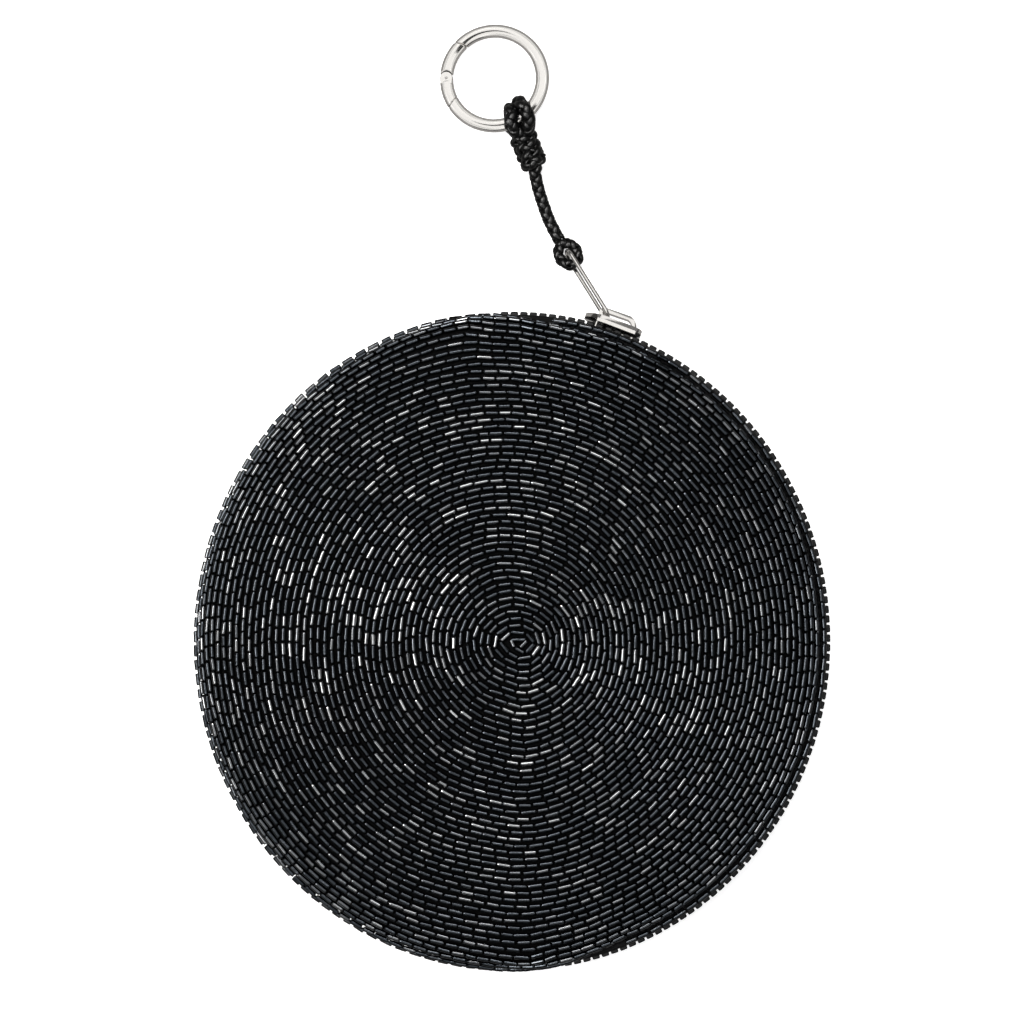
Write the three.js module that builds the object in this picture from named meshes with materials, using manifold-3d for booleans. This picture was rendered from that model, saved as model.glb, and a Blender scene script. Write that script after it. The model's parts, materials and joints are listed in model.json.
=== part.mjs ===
import * as THREE from 'three';
import { mergeVertices } from 'three/addons/utils/BufferGeometryUtils.js';
import Module from 'manifold-3d';

// Round beaded coin purse lying on its back, in mm. +X is right, +Y is towards the ring, +Z is up.
// The origin is the centre of the flat underside, which lies on the surface.

// Disc: an oval outline, a domed front and a back that is flat where it lies.
const HALF_WIDTH = 72.2;
const HALF_HEIGHT = 74.85;
const RIM_Z = 8;
const DOME = 10.6;
const WALL = 2;
const SEAM_HALF_GAP = 0.15;
const DISC_STEP = 7.5;

// Zip: angles on the oval, counted from +X towards +Y.
const ZIP_TOP = 92.1;
const ZIP_BOTTOM = -80.7;
const ZIP_EDGE_EASE = [1.2, 7];
const ZIP_INSET_EASE = [-2, 4];
const ZIP_EDGE = 4;
const ZIP_INSET = { front: 2.3, back: 3.2 };
const TOOTH_PITCH = 2.2;
const TOOTH_WIDTH = 1.45;
const TOOTH_NOTCH = 1.2;
const TOOTH_DEPTH = 2;
const TOOTH_REACH = 2.5;
const BACK_ROW_SHIFT = 0.9;
const TAPE = 0.7;

// Slider: long side along the rim, bridge outside it.
const SLIDER_AT = 71.5;
const SLIDER_EDGE = 5.7;
const SLIDER_EASE = [9.5, 18];
const POST_HALF_WIDTH = 0.7;
const PLATE_FLOOR = 0.3;
const PLATE_TOP = 1.25;
const BRIDGE_UNDER = 2.95;
const BRIDGE_TOP = 3.95;
const BRIDGE_HALF_WIDTH = 0.9;
const TUNNEL_AT = { along: -2, out: 2.05 };

// Link, cord and ring.
const LINK_WIRE = 0.95;
const LINK_INSIDE = 3;
const LINK_FAR_END = [12.4, 88.8, 2.75];
const CORD = 2.5;
const GAP = 0.3;
const RING = { x: -4.1, y: 128.4, radius: 10.97, wire: 3.05 };
const RING_LOW_SIDE = 121;
const LOOP_AT = { left: -71.2, right: -46.1 };
const GATE_NOSE = 134;
const GATE_HINGE = 180;
const BLOCK_END = 211;
const EAR_RADIUS = 1.45;
const ARCH_RADIUS = 1.75;
const TONGUE = { half: 0.45, radius: 1.25 };
const PIN_RADIUS = 0.4;
const BORE_RADIUS = 0.6;

const wasm = await Module();
wasm.setup();

const radians = (degrees) => (degrees * Math.PI) / 180;
const mix = (a, b, share) => a + (b - a) * share;
const ease = (x, from, to) => {
  const share = Math.min(1, Math.max(0, (x - from) / (to - from)));
  return share * share * (3 - 2 * share);
};

function closedGeometry(points, faces) {
  const geometry = new THREE.BufferGeometry();
  geometry.setAttribute('position', new THREE.Float32BufferAttribute(points.flat(), 3));
  geometry.setIndex(faces.flat());
  return geometry;
}

function toSolid(geometry) {
  const bare = new THREE.BufferGeometry();
  bare.setAttribute('position', geometry.getAttribute('position').clone());
  if (geometry.getIndex()) bare.setIndex(geometry.getIndex().clone());
  const merged = mergeVertices(bare, 1e-4);
  return new wasm.Manifold(new wasm.Mesh({
    numProp: 3,
    vertProperties: new Float32Array(merged.getAttribute('position').array),
    triVerts: new Uint32Array(merged.getIndex().array),
  }));
}

function fromSolid(solid) {
  const mesh = solid.getMesh();
  const geometry = new THREE.BufferGeometry();
  geometry.setAttribute('position', new THREE.BufferAttribute(new Float32Array(mesh.vertProperties), 3));
  geometry.setIndex(new THREE.BufferAttribute(new Uint32Array(mesh.triVerts), 1));
  return geometry;
}

const rimPoint = (angle) => [HALF_WIDTH * Math.cos(radians(angle)), HALF_HEIGHT * Math.sin(radians(angle))];
function rimNormal(angle) {
  const x = Math.cos(radians(angle)) / HALF_WIDTH;
  const y = Math.sin(radians(angle)) / HALF_HEIGHT;
  const length = Math.hypot(x, y);
  return [x / length, y / length];
}
function offRim(angle, inset, z) {
  const [x, y] = rimPoint(angle);
  const [nx, ny] = rimNormal(angle);
  return [x - inset * nx, y - inset * ny, z];
}

// Length along the rim from the zip's top end, clockwise.
const rimTable = [];
for (let angle = ZIP_TOP, length = 0, last = rimPoint(ZIP_TOP); angle > ZIP_BOTTOM - 8; angle -= 0.25) {
  const here = rimPoint(angle);
  length += Math.hypot(here[0] - last[0], here[1] - last[1]);
  rimTable.push({ angle, length });
  last = here;
}
function angleAt(length) {
  const next = Math.max(1, rimTable.findIndex((row) => row.length >= length));
  const a = rimTable[next - 1];
  const b = rimTable[next];
  return mix(a.angle, b.angle, (length - a.length) / (b.length - a.length));
}
function lengthAt(angle) {
  const next = Math.max(1, rimTable.findIndex((row) => row.angle <= angle));
  const a = rimTable[next - 1];
  const b = rimTable[next];
  return mix(a.length, b.length, (angle - a.angle) / (b.angle - a.angle));
}
const SLIDER_LENGTH_AT = lengthAt(SLIDER_AT);
const ZIP_LENGTH = lengthAt(ZIP_BOTTOM);

// How far the two panels stand apart: closed seam on the left, zip on the right, wider at the slider and
// along the short stretch of teeth that it has left open.
const turned = (angle) => ((((angle + 180) % 360) + 360) % 360) - 180;
const zipMiddle = (ZIP_TOP + ZIP_BOTTOM) / 2;
const zipHalf = (ZIP_TOP - ZIP_BOTTOM) / 2;
const pastZip = (angle) => Math.abs(turned(angle - zipMiddle)) - zipHalf;
const edgeShare = (angle) => 1 - ease(pastZip(angle), ZIP_EDGE_EASE[0], ZIP_EDGE_EASE[1]);
const insetShare = (angle) => 1 - ease(pastZip(angle), ZIP_INSET_EASE[0], ZIP_INSET_EASE[1]);
function openShare(length) {
  return (1 - ease(length - SLIDER_LENGTH_AT, -1.8, 4.6)) * ease(length, 1, 9);
}
function spreadShare(angle) {
  const along = Math.abs(turned(angle - SLIDER_AT)) * radians(1) * HALF_HEIGHT;
  const atSlider = 1 - ease(along, SLIDER_EASE[0], SLIDER_EASE[1]);
  return Math.max(atSlider, openShare(lengthAt(turned(angle))));
}

// Even steps round the rim, closer together at the zip's two ends.
const rimAngles = [];
const endSteps = [-6, -2, 1.2, 3, 5, 7, 11];
const nearEnd = endSteps.map((step) => ZIP_TOP + step).concat(endSteps.map((step) => ZIP_BOTTOM - step));
for (let angle = -180; angle < 180; angle += DISC_STEP) {
  const past = pastZip(angle);
  if (past < endSteps[0] - 2 || past > endSteps[endSteps.length - 1] + 2) rimAngles.push(angle);
}
rimAngles.push(...nearEnd);
rimAngles.sort((a, b) => a - b);
const RIM_COUNT = rimAngles.length;

function onGrid(share, angle) {
  const here = turned(angle);
  const next = rimAngles.findIndex((step) => step > here);
  const after = next < 0 ? 0 : next;
  const high = next < 0 ? rimAngles[0] + 360 : rimAngles[after];
  const before = (after + RIM_COUNT - 1) % RIM_COUNT;
  const low = next === 0 ? rimAngles[before] - 360 : rimAngles[before];
  return mix(share(low), share(high), (here - low) / (high - low));
}
function edgeHeight(angle) {
  const zipped = mix(ZIP_EDGE, SLIDER_EDGE, onGrid(spreadShare, angle));
  return mix(SEAM_HALF_GAP, zipped, onGrid(edgeShare, angle));
}

// A panel is a shell with rings from the middle of its outside, round its edge, to the middle of its inside.
const PANEL_SECTION = [
  { face: 'outside', share: 0.3 },
  { face: 'outside', share: 0.55 },
  { face: 'outside', share: 0.72 },
  { face: 'outside', share: 0.84 },
  { face: 'outside', share: 0.915 },
  { face: 'outside', share: 0.965 },
  { face: 'outside', share: 0.99 },
  { face: 'outside', share: 1 },
  { face: 'inside', share: 1 },
  { face: 'inside', share: 0.965 },
  { face: 'inside', share: 0.88 },
  { face: 'inside', share: 0.6 },
];
const frontBulge = (share) => Math.sqrt(1 - share ** 5);
const backBulge = (share) => Math.min(1, 1.06 * Math.sqrt(1 - share ** 7));

function panelPoint(side, face, share, angle) {
  const wall = face === 'inside' ? WALL : 0;
  const inset = ZIP_INSET[side] * insetShare(angle) * share ** 6 + wall;
  const [x, y] = offRim(angle, inset, 0);
  const edge = edgeHeight(angle);
  const rise = (DOME - wall) * frontBulge(share) + edge * share ** 14;
  const fall = edge + (RIM_Z - wall - edge) * backBulge(share);
  return [x * share, y * share, side === 'front' ? RIM_Z + rise : RIM_Z - fall];
}

function panel(side) {
  const points = [];
  const faces = [];
  for (const row of PANEL_SECTION) {
    for (const angle of rimAngles) points.push(panelPoint(side, row.face, row.share, angle));
  }
  const outsideMiddle = points.push(panelPoint(side, 'outside', 0, 0)) - 1;
  const insideMiddle = points.push(panelPoint(side, 'inside', 0, 0)) - 1;
  const last = PANEL_SECTION.length - 1;
  const add = (a, b, c) => faces.push(side === 'front' ? [a, b, c] : [a, c, b]);
  for (let i = 0; i < RIM_COUNT; i += 1) {
    const j = (i + 1) % RIM_COUNT;
    add(outsideMiddle, i, j);
    add(insideMiddle, last * RIM_COUNT + j, last * RIM_COUNT + i);
    for (let row = 0; row < last; row += 1) {
      const a = row * RIM_COUNT;
      const b = a + RIM_COUNT;
      add(a + i, b + i, b + j);
      add(a + i, b + j, a + j);
    }
  }
  return closedGeometry(points, faces);
}

// The rows of teeth part round the slider's post and meet again at the zip's top end.
function rowParting(length) {
  return SEAM_HALF_GAP + (POST_HALF_WIDTH + GAP) * openShare(length);
}

function toothRow(side) {
  const sign = side === 'front' ? 1 : -1;
  const shift = side === 'front' ? 0 : BACK_ROW_SHIFT;
  const first = side === 'front' ? 0 : TOOTH_PITCH / 2;
  const count = Math.floor((ZIP_LENGTH - first - TOOTH_WIDTH) / TOOTH_PITCH) + 1;
  const insets = [shift + TOOTH_DEPTH, shift + TOOTH_NOTCH, shift];
  const points = [];
  const faces = [];
  for (let k = 0; k < count; k += 1) {
    for (const length of [first + k * TOOTH_PITCH, first + k * TOOTH_PITCH + TOOTH_WIDTH]) {
      const near = rowParting(first + k * TOOTH_PITCH + TOOTH_WIDTH / 2);
      const angle = angleAt(length);
      for (const reach of [near, near + TOOTH_REACH - SEAM_HALF_GAP]) {
        for (const inset of insets) points.push(offRim(angle, inset, RIM_Z + sign * reach));
      }
    }
  }
  const add = (a, b, c) => faces.push(sign > 0 ? [a, c, b] : [a, b, c]);
  const quad = (a, b, c, d) => {
    add(a, b, c);
    add(a, c, d);
  };
  for (let station = 0; station < 2 * count; station += 1) {
    const a = station * 6;
    const b = a + 6;
    const tooth = station % 2 === 0;
    if (tooth) quad(a + 1, a + 2, a + 5, a + 4);
    else quad(a + 2, a + 1, a + 4, a + 5);
    if (station === 0) quad(a, a + 1, a + 4, a + 3);
    if (station === 2 * count - 1) {
      quad(a + 1, a, a + 3, a + 4);
      continue;
    }
    quad(a, a + 3, b + 3, b);
    quad(a, b, b + 1, a + 1);
    quad(b + 3, a + 3, a + 4, b + 4);
    if (tooth) {
      quad(a + 1, b + 1, b + 2, a + 2);
      quad(b + 4, a + 4, a + 5, b + 5);
      quad(a + 2, b + 2, b + 5, a + 5);
    } else {
      quad(a + 1, b + 1, b + 4, a + 4);
    }
  }
  return closedGeometry(points, faces);
}

// Tape: a strip from the teeth to under the panel's edge. Plain where it runs, straighter through the slider,
// and past the last teeth it turns in to shut the zip's end.
const TAPE_SECTION = [
  { run: [1, 2.88], slider: [1.05, 2.88], end: [2.9, 0.2] },
  { run: [1.25, 3.2], slider: [1.1, 4.75], end: [3, 0.6] },
  { run: [2.6, 3.33], slider: [2.6, 5.03], end: [3.4, 1] },
  { run: [6.2, 3.33], slider: [6.2, 5.03], end: [6.2, 1] },
];
const TAPE_STEPS = 40;
const TAPE_TONGUE = [0.9, 4.2];
const TAPE_UNDER_EDGE = 0.67;

function tape(side) {
  const sign = side === 'front' ? 1 : -1;
  const shift = side === 'front' ? 0 : BACK_ROW_SHIFT;
  const points = [];
  const faces = [];
  const count = TAPE_SECTION.length;
  const stops = TAPE_TONGUE.map((past) => -past).reverse();
  for (let i = 0; i <= TAPE_STEPS; i += 1) stops.push((ZIP_LENGTH * i) / TAPE_STEPS);
  for (const past of TAPE_TONGUE) stops.push(ZIP_LENGTH + past);
  for (const length of stops) {
    const angle = angleAt(length);
    const near = onGrid(spreadShare, angle);
    const apart = rowParting(length) - SEAM_HALF_GAP;
    const tongue = length < -0.1 || length > ZIP_LENGTH + 0.1;
    const line = TAPE_SECTION.map((row, i) => ({
      inset: shift + mix(row.run[0], row.slider[0], near),
      reach: mix(row.run[1], row.slider[1], near) + (i === 0 ? apart : 0),
    }));
    line[1].reach = Math.max(line[1].reach, line[0].reach + 0.15);
    line[2].reach = Math.max(line[2].reach, line[1].reach);
    if (tongue) {
      const top = edgeHeight(angle) - TAPE_UNDER_EDGE;
      TAPE_SECTION.forEach((row, i) => {
        line[i] = { inset: shift + row.end[0], reach: i === 0 ? row.end[1] : row.end[1] * top };
      });
    }
    const sides = [];
    for (let i = 0; i < count; i += 1) {
      const from = line[Math.max(0, i - 1)];
      const to = line[Math.min(count - 1, i + 1)];
      const run = Math.hypot(to.inset - from.inset, to.reach - from.reach);
      const outward = [-(to.reach - from.reach) / run, (to.inset - from.inset) / run];
      sides.push({ at: line[i], outward });
    }
    for (const half of [TAPE / 2, -TAPE / 2]) {
      for (const { at, outward } of sides) {
        const reach = at.reach + half * outward[1];
        points.push(offRim(angle, at.inset + half * outward[0], RIM_Z + sign * reach));
      }
    }
  }
  const loop = [0, 1, 2, 3, 7, 6, 5, 4];
  const add = (a, b, c) => faces.push(sign > 0 ? [a, b, c] : [a, c, b]);
  for (let stop = 0; stop < stops.length - 1; stop += 1) {
    const a = stop * 2 * count;
    const b = a + 2 * count;
    for (let i = 0; i < loop.length; i += 1) {
      const p = loop[i];
      const q = loop[(i + 1) % loop.length];
      add(a + p, b + q, b + p);
      add(a + p, a + q, b + q);
    }
  }
  const end = (stops.length - 1) * 2 * count;
  for (let i = 0; i < count - 1; i += 1) {
    add(i, count + i + 1, i + 1);
    add(i, count + i, count + i + 1);
    add(end + i, end + i + 1, end + count + i + 1);
    add(end + i, end + count + i + 1, end + count + i);
  }
  return closedGeometry(points, faces);
}

// Slider in its own frame: x along the rim, y out from the rim, z across the zip.
const [sliderX, sliderY] = rimPoint(SLIDER_AT);
const [outX, outY] = rimNormal(SLIDER_AT);
const sliderFrame = new THREE.Matrix4().makeBasis(
  new THREE.Vector3(outY, -outX, 0),
  new THREE.Vector3(outX, outY, 0),
  new THREE.Vector3(0, 0, 1),
).setPosition(sliderX, sliderY, RIM_Z);

function outlineShape(rows) {
  const shape = new THREE.Shape();
  rows.forEach(([x, y], i) => (i ? shape.lineTo(x, y) : shape.moveTo(x, y)));
  shape.closePath();
  return shape;
}

function slab(rows, depth) {
  return new THREE.ExtrudeGeometry(outlineShape(rows), { depth, bevelEnabled: false });
}

// A slab drawn along the rim and across the zip, between two heights out from the rim.
function plate(rows, low, high) {
  const geometry = slab(rows, high - low);
  geometry.applyMatrix4(new THREE.Matrix4().makeRotationX(Math.PI / 2));
  geometry.translate(0, high, 0);
  return toSolid(geometry);
}

const mirrored = (half) => [...half, ...half.slice().reverse().map(([x, z]) => [x, -z])];

function slider() {
  const topHalf = [
    [-7, 1.1], [-6.5, 2.2], [-5.2, 3.5], [-3.6, 4.35], [-2, 4.45], [5, 3.55], [5.9, 2.9], [6.4, 1.6],
  ];
  const lowHalf = [[-5.2, 2.4], [-3.8, 4.2], [-2, 4.4], [5, 3.5], [5.3, 2.4]];
  const wall = [[-4.2, 4.4], [-2, 4.47], [5, 3.57], [5, 2.85], [-1.9, 3.8], [-4.2, 3.8]];
  const farWall = wall.map(([x, z]) => [x, -z]).reverse();
  const overlap = 0.1;
  const deepTop = 3.45;
  let body = plate(mirrored(topHalf), PLATE_FLOOR, PLATE_TOP);
  body = body.add(plate(mirrored(lowHalf), -4.3, -deepTop));
  body = body.add(plate(wall, -0.4, PLATE_FLOOR + overlap));
  body = body.add(plate(wall, -deepTop - overlap, -1.95));
  body = body.add(plate(farWall, -1.3, PLATE_FLOOR + overlap));
  body = body.add(plate(farWall, -deepTop - overlap, -2.85));
  const post = [[-5, 0], [-4.2, POST_HALF_WIDTH], [-2.9, POST_HALF_WIDTH], [-2.2, 0.2]];
  body = body.add(plate(mirrored(post), -deepTop - overlap, PLATE_FLOOR + overlap));
  const arch = [
    [-4.3, PLATE_TOP - overlap], [-4.3, 2.9], [-3.9, 3.6], [-3.2, BRIDGE_TOP], [2.9, BRIDGE_TOP],
    [4, 3.4], [4.8, 2.4], [5.1, PLATE_TOP - overlap], [4, PLATE_TOP - overlap], [3.8, 2],
    [3.3, 2.6], [2.6, BRIDGE_UNDER], [-2.9, BRIDGE_UNDER], [-3.3, 2.6], [-3.4, PLATE_TOP - overlap],
  ];
  const bridge = slab(arch, 2 * BRIDGE_HALF_WIDTH);
  bridge.translate(0, 0, -BRIDGE_HALF_WIDTH);
  return fromSolid(body.add(toSolid(bridge))).applyMatrix4(sliderFrame);
}

// A round bar along a list of points, open with flat ends or closed into a loop.
function bar(points, radii, sides, closed) {
  const vectors = points.map((p) => new THREE.Vector3(...p));
  const count = vectors.length;
  const rings = [];
  const faces = [];
  let across = null;
  const along = vectors.map((v, i) => {
    const before = closed ? vectors[(i + count - 1) % count] : vectors[Math.max(0, i - 1)];
    const after = closed ? vectors[(i + 1) % count] : vectors[Math.min(count - 1, i + 1)];
    return after.clone().sub(before).normalize();
  });
  if (closed) {
    across = along[0].clone().cross(along[Math.floor(count / 4)]).normalize();
  } else {
    across = new THREE.Vector3(0, 0, 1).addScaledVector(along[0], -along[0].z);
    if (across.length() < 0.2) across.set(1, 0, 0).addScaledVector(along[0], -along[0].x);
    across.normalize();
  }
  vectors.forEach((v, i) => {
    across = across.clone().addScaledVector(along[i], -across.dot(along[i])).normalize();
    const other = along[i].clone().cross(across);
    const radius = Array.isArray(radii) ? radii[i] : radii;
    for (let k = 0; k < sides; k += 1) {
      const turn = (2 * Math.PI * (k + 0.5)) / sides;
      const spot = v.clone().addScaledVector(across, radius * Math.cos(turn));
      spot.addScaledVector(other, radius * Math.sin(turn));
      rings.push([spot.x, spot.y, spot.z]);
    }
  });
  for (let i = 0; i < (closed ? count : count - 1); i += 1) {
    const a = i * sides;
    const b = ((i + 1) % count) * sides;
    for (let k = 0; k < sides; k += 1) {
      const n = (k + 1) % sides;
      faces.push([a + k, a + n, b + n], [a + k, b + n, b + k]);
    }
  }
  if (!closed) {
    const end = (count - 1) * sides;
    for (let k = 1; k < sides - 1; k += 1) {
      faces.push([0, k + 1, k], [end, end + k, end + k + 1]);
    }
  }
  return closedGeometry(rings, faces);
}

function smoothPath(points, steps) {
  const curve = new THREE.CatmullRomCurve3(points.map((p) => new THREE.Vector3(...p)), false, 'centripetal');
  return curve.getSpacedPoints(steps).map((v) => [v.x, v.y, v.z]);
}

// Link: from the tunnel under the bridge to its far end near the surface, standing on edge.
const linkNear = new THREE.Vector3(TUNNEL_AT.along, TUNNEL_AT.out, 0).applyMatrix4(sliderFrame);
const linkFar = new THREE.Vector3(...LINK_FAR_END);
const linkAlong = linkFar.clone().sub(linkNear).normalize();
const linkUp = new THREE.Vector3(0, 0, 1).addScaledVector(linkAlong, -linkAlong.z).normalize();
const linkSide = linkAlong.clone().cross(linkUp);

function link() {
  const bend = (LINK_INSIDE + LINK_WIRE) / 2;
  const points = [];
  for (const [centre, sign] of [[linkFar, 1], [linkNear, -1]]) {
    for (let i = 0; i <= 8; i += 1) {
      const turn = (Math.PI * i) / 8 - Math.PI / 2;
      const spot = centre.clone().addScaledVector(linkAlong, sign * bend * (Math.cos(turn) - 1));
      spot.addScaledVector(linkUp, sign * bend * Math.sin(turn));
      points.push([spot.x, spot.y, spot.z]);
    }
  }
  return bar(points, LINK_WIRE / 2, 8, true);
}

// Cord: an eye round the link's far end, a plain run, a knot of four turns, two loops over the ring.
const EYE = { long: 2.75, short: 2.1, back: 0.65 };
const eyeCentre = linkFar.clone().addScaledVector(linkAlong, -EYE.back);

function cordEye() {
  const points = [];
  for (let i = 0; i < 20; i += 1) {
    const turn = (2 * Math.PI * i) / 20;
    const spot = eyeCentre.clone().addScaledVector(linkAlong, EYE.long * Math.cos(turn));
    spot.addScaledVector(linkSide, EYE.short * Math.sin(turn));
    points.push([spot.x, spot.y, spot.z]);
  }
  return bar(points, CORD / 2, 8, true);
}

const KNOT = [
  { x: 5.3, y: 107.75, radius: 2.1 },
  { x: 4.78, y: 109.2, radius: 3.3 },
  { x: 4.0, y: 110.3, radius: 2.9 },
  { x: 3.35, y: 111.35, radius: 3.4 },
  { x: 2.8, y: 112.5, radius: 2.95 },
  { x: 2.4, y: 113.6, radius: 3.4 },
  { x: 2.15, y: 114.75, radius: 2.9 },
  { x: 1.95, y: 115.8, radius: 3.2 },
  { x: 1.8, y: 116.85, radius: 2.3 },
];
const KNOT_Z = 3.45;

function wrapKnot() {
  return bar(KNOT.map((row) => [row.x, row.y, KNOT_Z]), KNOT.map((row) => row.radius), 12, false);
}

function cordRun() {
  const start = eyeCentre.clone().addScaledVector(linkAlong, EYE.long + CORD / 2 + GAP);
  const end = KNOT[0];
  const points = [
    [start.x, start.y, start.z], [8.3, 95.8, 1.4], [6.95, 99.2, 1.3], [5.95, 103.3, 1.75],
    [end.x + 0.2, end.y - 0.62, KNOT_Z - 0.4],
  ];
  return bar(smoothPath(points, 9), CORD / 2, 8, false);
}

// Ring: tilted, with its low side on the surface and its other side over the cord's loops.
const wireRadius = RING.wire / 2;
const loopRadius = wireRadius + GAP + CORD / 2;
const highWire = loopRadius + CORD / 2 + 0.06;
const ringTilt = Math.asin((highWire - wireRadius - 0.02) / (2 * RING.radius));
const ringZ = (highWire + wireRadius + 0.02) / 2;
const tiltTurn = radians(RING_LOW_SIDE + 90);
const tiltAxis = new THREE.Vector3(Math.cos(tiltTurn), Math.sin(tiltTurn), 0);
const ringFrame = new THREE.Matrix4().makeRotationAxis(tiltAxis, ringTilt).setPosition(RING.x, RING.y, ringZ);

function cordLoop(angle, end) {
  const wire = new THREE.Vector3(Math.cos(radians(angle)), Math.sin(radians(angle)), 0);
  wire.multiplyScalar(RING.radius).applyMatrix4(ringFrame);
  const inward = new THREE.Vector3(RING.x, RING.y, 0).sub(new THREE.Vector3(wire.x, wire.y, 0)).normalize();
  const points = [[end.x, end.y, end.top]];
  for (let i = 0; i <= 8; i += 1) {
    const turn = (Math.PI * i) / 8;
    const spot = wire.clone().addScaledVector(inward, loopRadius * Math.sin(turn));
    points.push([spot.x, spot.y, Math.max(CORD / 2 + 0.03, wire.z + loopRadius * Math.cos(turn))]);
  }
  points.push([end.x, end.y, CORD / 2 + 0.05]);
  return bar(points, CORD / 2, 8, false);
}

// Ring pieces in the ring's own frame: the hinge is at the left, and the gate swings inward.
const hingeX = RING.radius * Math.cos(radians(GATE_HINGE));
const noseX = RING.radius * Math.cos(radians(GATE_NOSE));
const noseY = RING.radius * Math.sin(radians(GATE_NOSE));
const gateReach = Math.hypot(noseX - hingeX, noseY);

function ringSolid() {
  return toSolid(new THREE.TorusGeometry(RING.radius, wireRadius, 10, 54));
}
function prism(rows, half) {
  const geometry = slab(rows, 2 * half);
  geometry.translate(0, 0, -half);
  return toSolid(geometry);
}
function hingeDrum(radius, low, high, steps) {
  const geometry = new THREE.CylinderGeometry(radius, radius, high - low, steps);
  geometry.rotateX(Math.PI / 2);
  geometry.translate(hingeX, 0, (low + high) / 2);
  return toSolid(geometry);
}
const blockCut = (share) => {
  const far = 16;
  const spot = (angle) => [far * Math.cos(radians(angle)), far * Math.sin(radians(angle))];
  return [[0, 0], spot(GATE_HINGE - 8), spot(195), spot(BLOCK_END + share)];
};

function ringGate() {
  const sector = [[-6, -0.5], [-16, -0.5], [-16, 16], [0, 16], [0, 3]];
  let gate = ringSolid().intersect(prism(sector, 3)).intersect(hingeDrum(gateReach - GAP / 2, -3, 3, 48));
  gate = gate.subtract(hingeDrum(ARCH_RADIUS, -3, 3, 24));
  const neck = [[hingeX - 1.1, 0], [hingeX + 1.1, 0], [hingeX + 1.15, 2.4], [hingeX - 0.7, 2.4]];
  gate = gate.add(prism(neck, TONGUE.half)).add(hingeDrum(TONGUE.radius, -TONGUE.half, TONGUE.half, 20));
  return gate.subtract(hingeDrum(BORE_RADIUS, -3, 3, 16));
}

function hingeBlock() {
  const shoulder = [[hingeX - 3, -0.9], [hingeX - 3, -14], [0, -14], [0, -0.4], [hingeX + 3, -0.4]];
  let block = ringSolid().intersect(prism(blockCut(-0.7), 3)).intersect(prism(shoulder, 3));
  const ears = hingeDrum(EAR_RADIUS, -1.28, 1.28, 20);
  block = block.add(ears);
  const slot = [[hingeX - 4, -1.05], [hingeX + 4, -1.05], [hingeX + 4, 4], [hingeX - 4, 4]];
  const slotHalf = TONGUE.half + 0.2;
  block = block.subtract(prism(slot, slotHalf));
  block = block.subtract(hingeDrum(TONGUE.radius + GAP, -slotHalf, slotHalf, 20));
  return block.add(hingeDrum(PIN_RADIUS, -0.9, 0.9, 12));
}

function ringBody() {
  const hinged = prism([[0, 0], [-16, 2], ...blockCut(0.7).slice(2)], 3);
  const gateSide = prism([[-3, -2], [-22, -2], [-22, 16], [-3, 16]], 3);
  const cut = hingeDrum(gateReach + GAP / 2, -3, 3, 48).intersect(gateSide);
  return ringSolid().subtract(hinged).subtract(cut);
}

const polishedNickel = { color: 0xc9c9cc, metalness: 1, roughness: 0.2 };
const blackBeads = { color: 0x111215, metalness: 0, roughness: 0.25 };
const blackCloth = { color: 0x121212, metalness: 0, roughness: 0.9 };
const blackLeather = { color: 0x161515, metalness: 0, roughness: 0.55 };
const blackResin = { color: 0x131313, metalness: 0, roughness: 0.4 };

const group = new THREE.Group();
function addPiece(name, geometry, look) {
  const mesh = new THREE.Mesh(geometry, new THREE.MeshStandardMaterial(look));
  mesh.name = name;
  group.add(mesh);
}

addPiece('back_panel', panel('back'), blackBeads);
addPiece('front_panel', panel('front'), blackBeads);
addPiece('zip_tape_back', tape('back'), blackCloth);
addPiece('zip_tape_front', tape('front'), blackCloth);
addPiece('zip_teeth_back', toothRow('back'), blackResin);
addPiece('zip_teeth_front', toothRow('front'), blackResin);
addPiece('zip_slider', slider(), polishedNickel);
addPiece('pull_link', link(), polishedNickel);
addPiece('cord_eye', cordEye(), blackLeather);
addPiece('cord_run', cordRun(), blackLeather);
addPiece('wrap_knot', wrapKnot(), blackLeather);
addPiece('cord_loop_left', cordLoop(LOOP_AT.left, { x: 0.15, y: 117.2, top: 7.15 }), blackLeather);
addPiece('cord_loop_right', cordLoop(LOOP_AT.right, { x: 3.7, y: 117.6, top: 6.7 }), blackLeather);
addPiece('ring_body', fromSolid(ringBody()).applyMatrix4(ringFrame), polishedNickel);
addPiece('ring_hinge_block', fromSolid(hingeBlock()).applyMatrix4(ringFrame), polishedNickel);
addPiece('ring_gate', fromSolid(ringGate()).applyMatrix4(ringFrame), polishedNickel);

export default group;
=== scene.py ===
# Round coin purse covered in black bugle beads. It lies on its back, with a braided cord and a spring gate
# ring on its zip pull. Metres, in the frame of the solids: +Z up, +Y towards the ring.
import json
import math

import bmesh
import bpy
import numpy as np
from mathutils import Matrix, Vector


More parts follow.
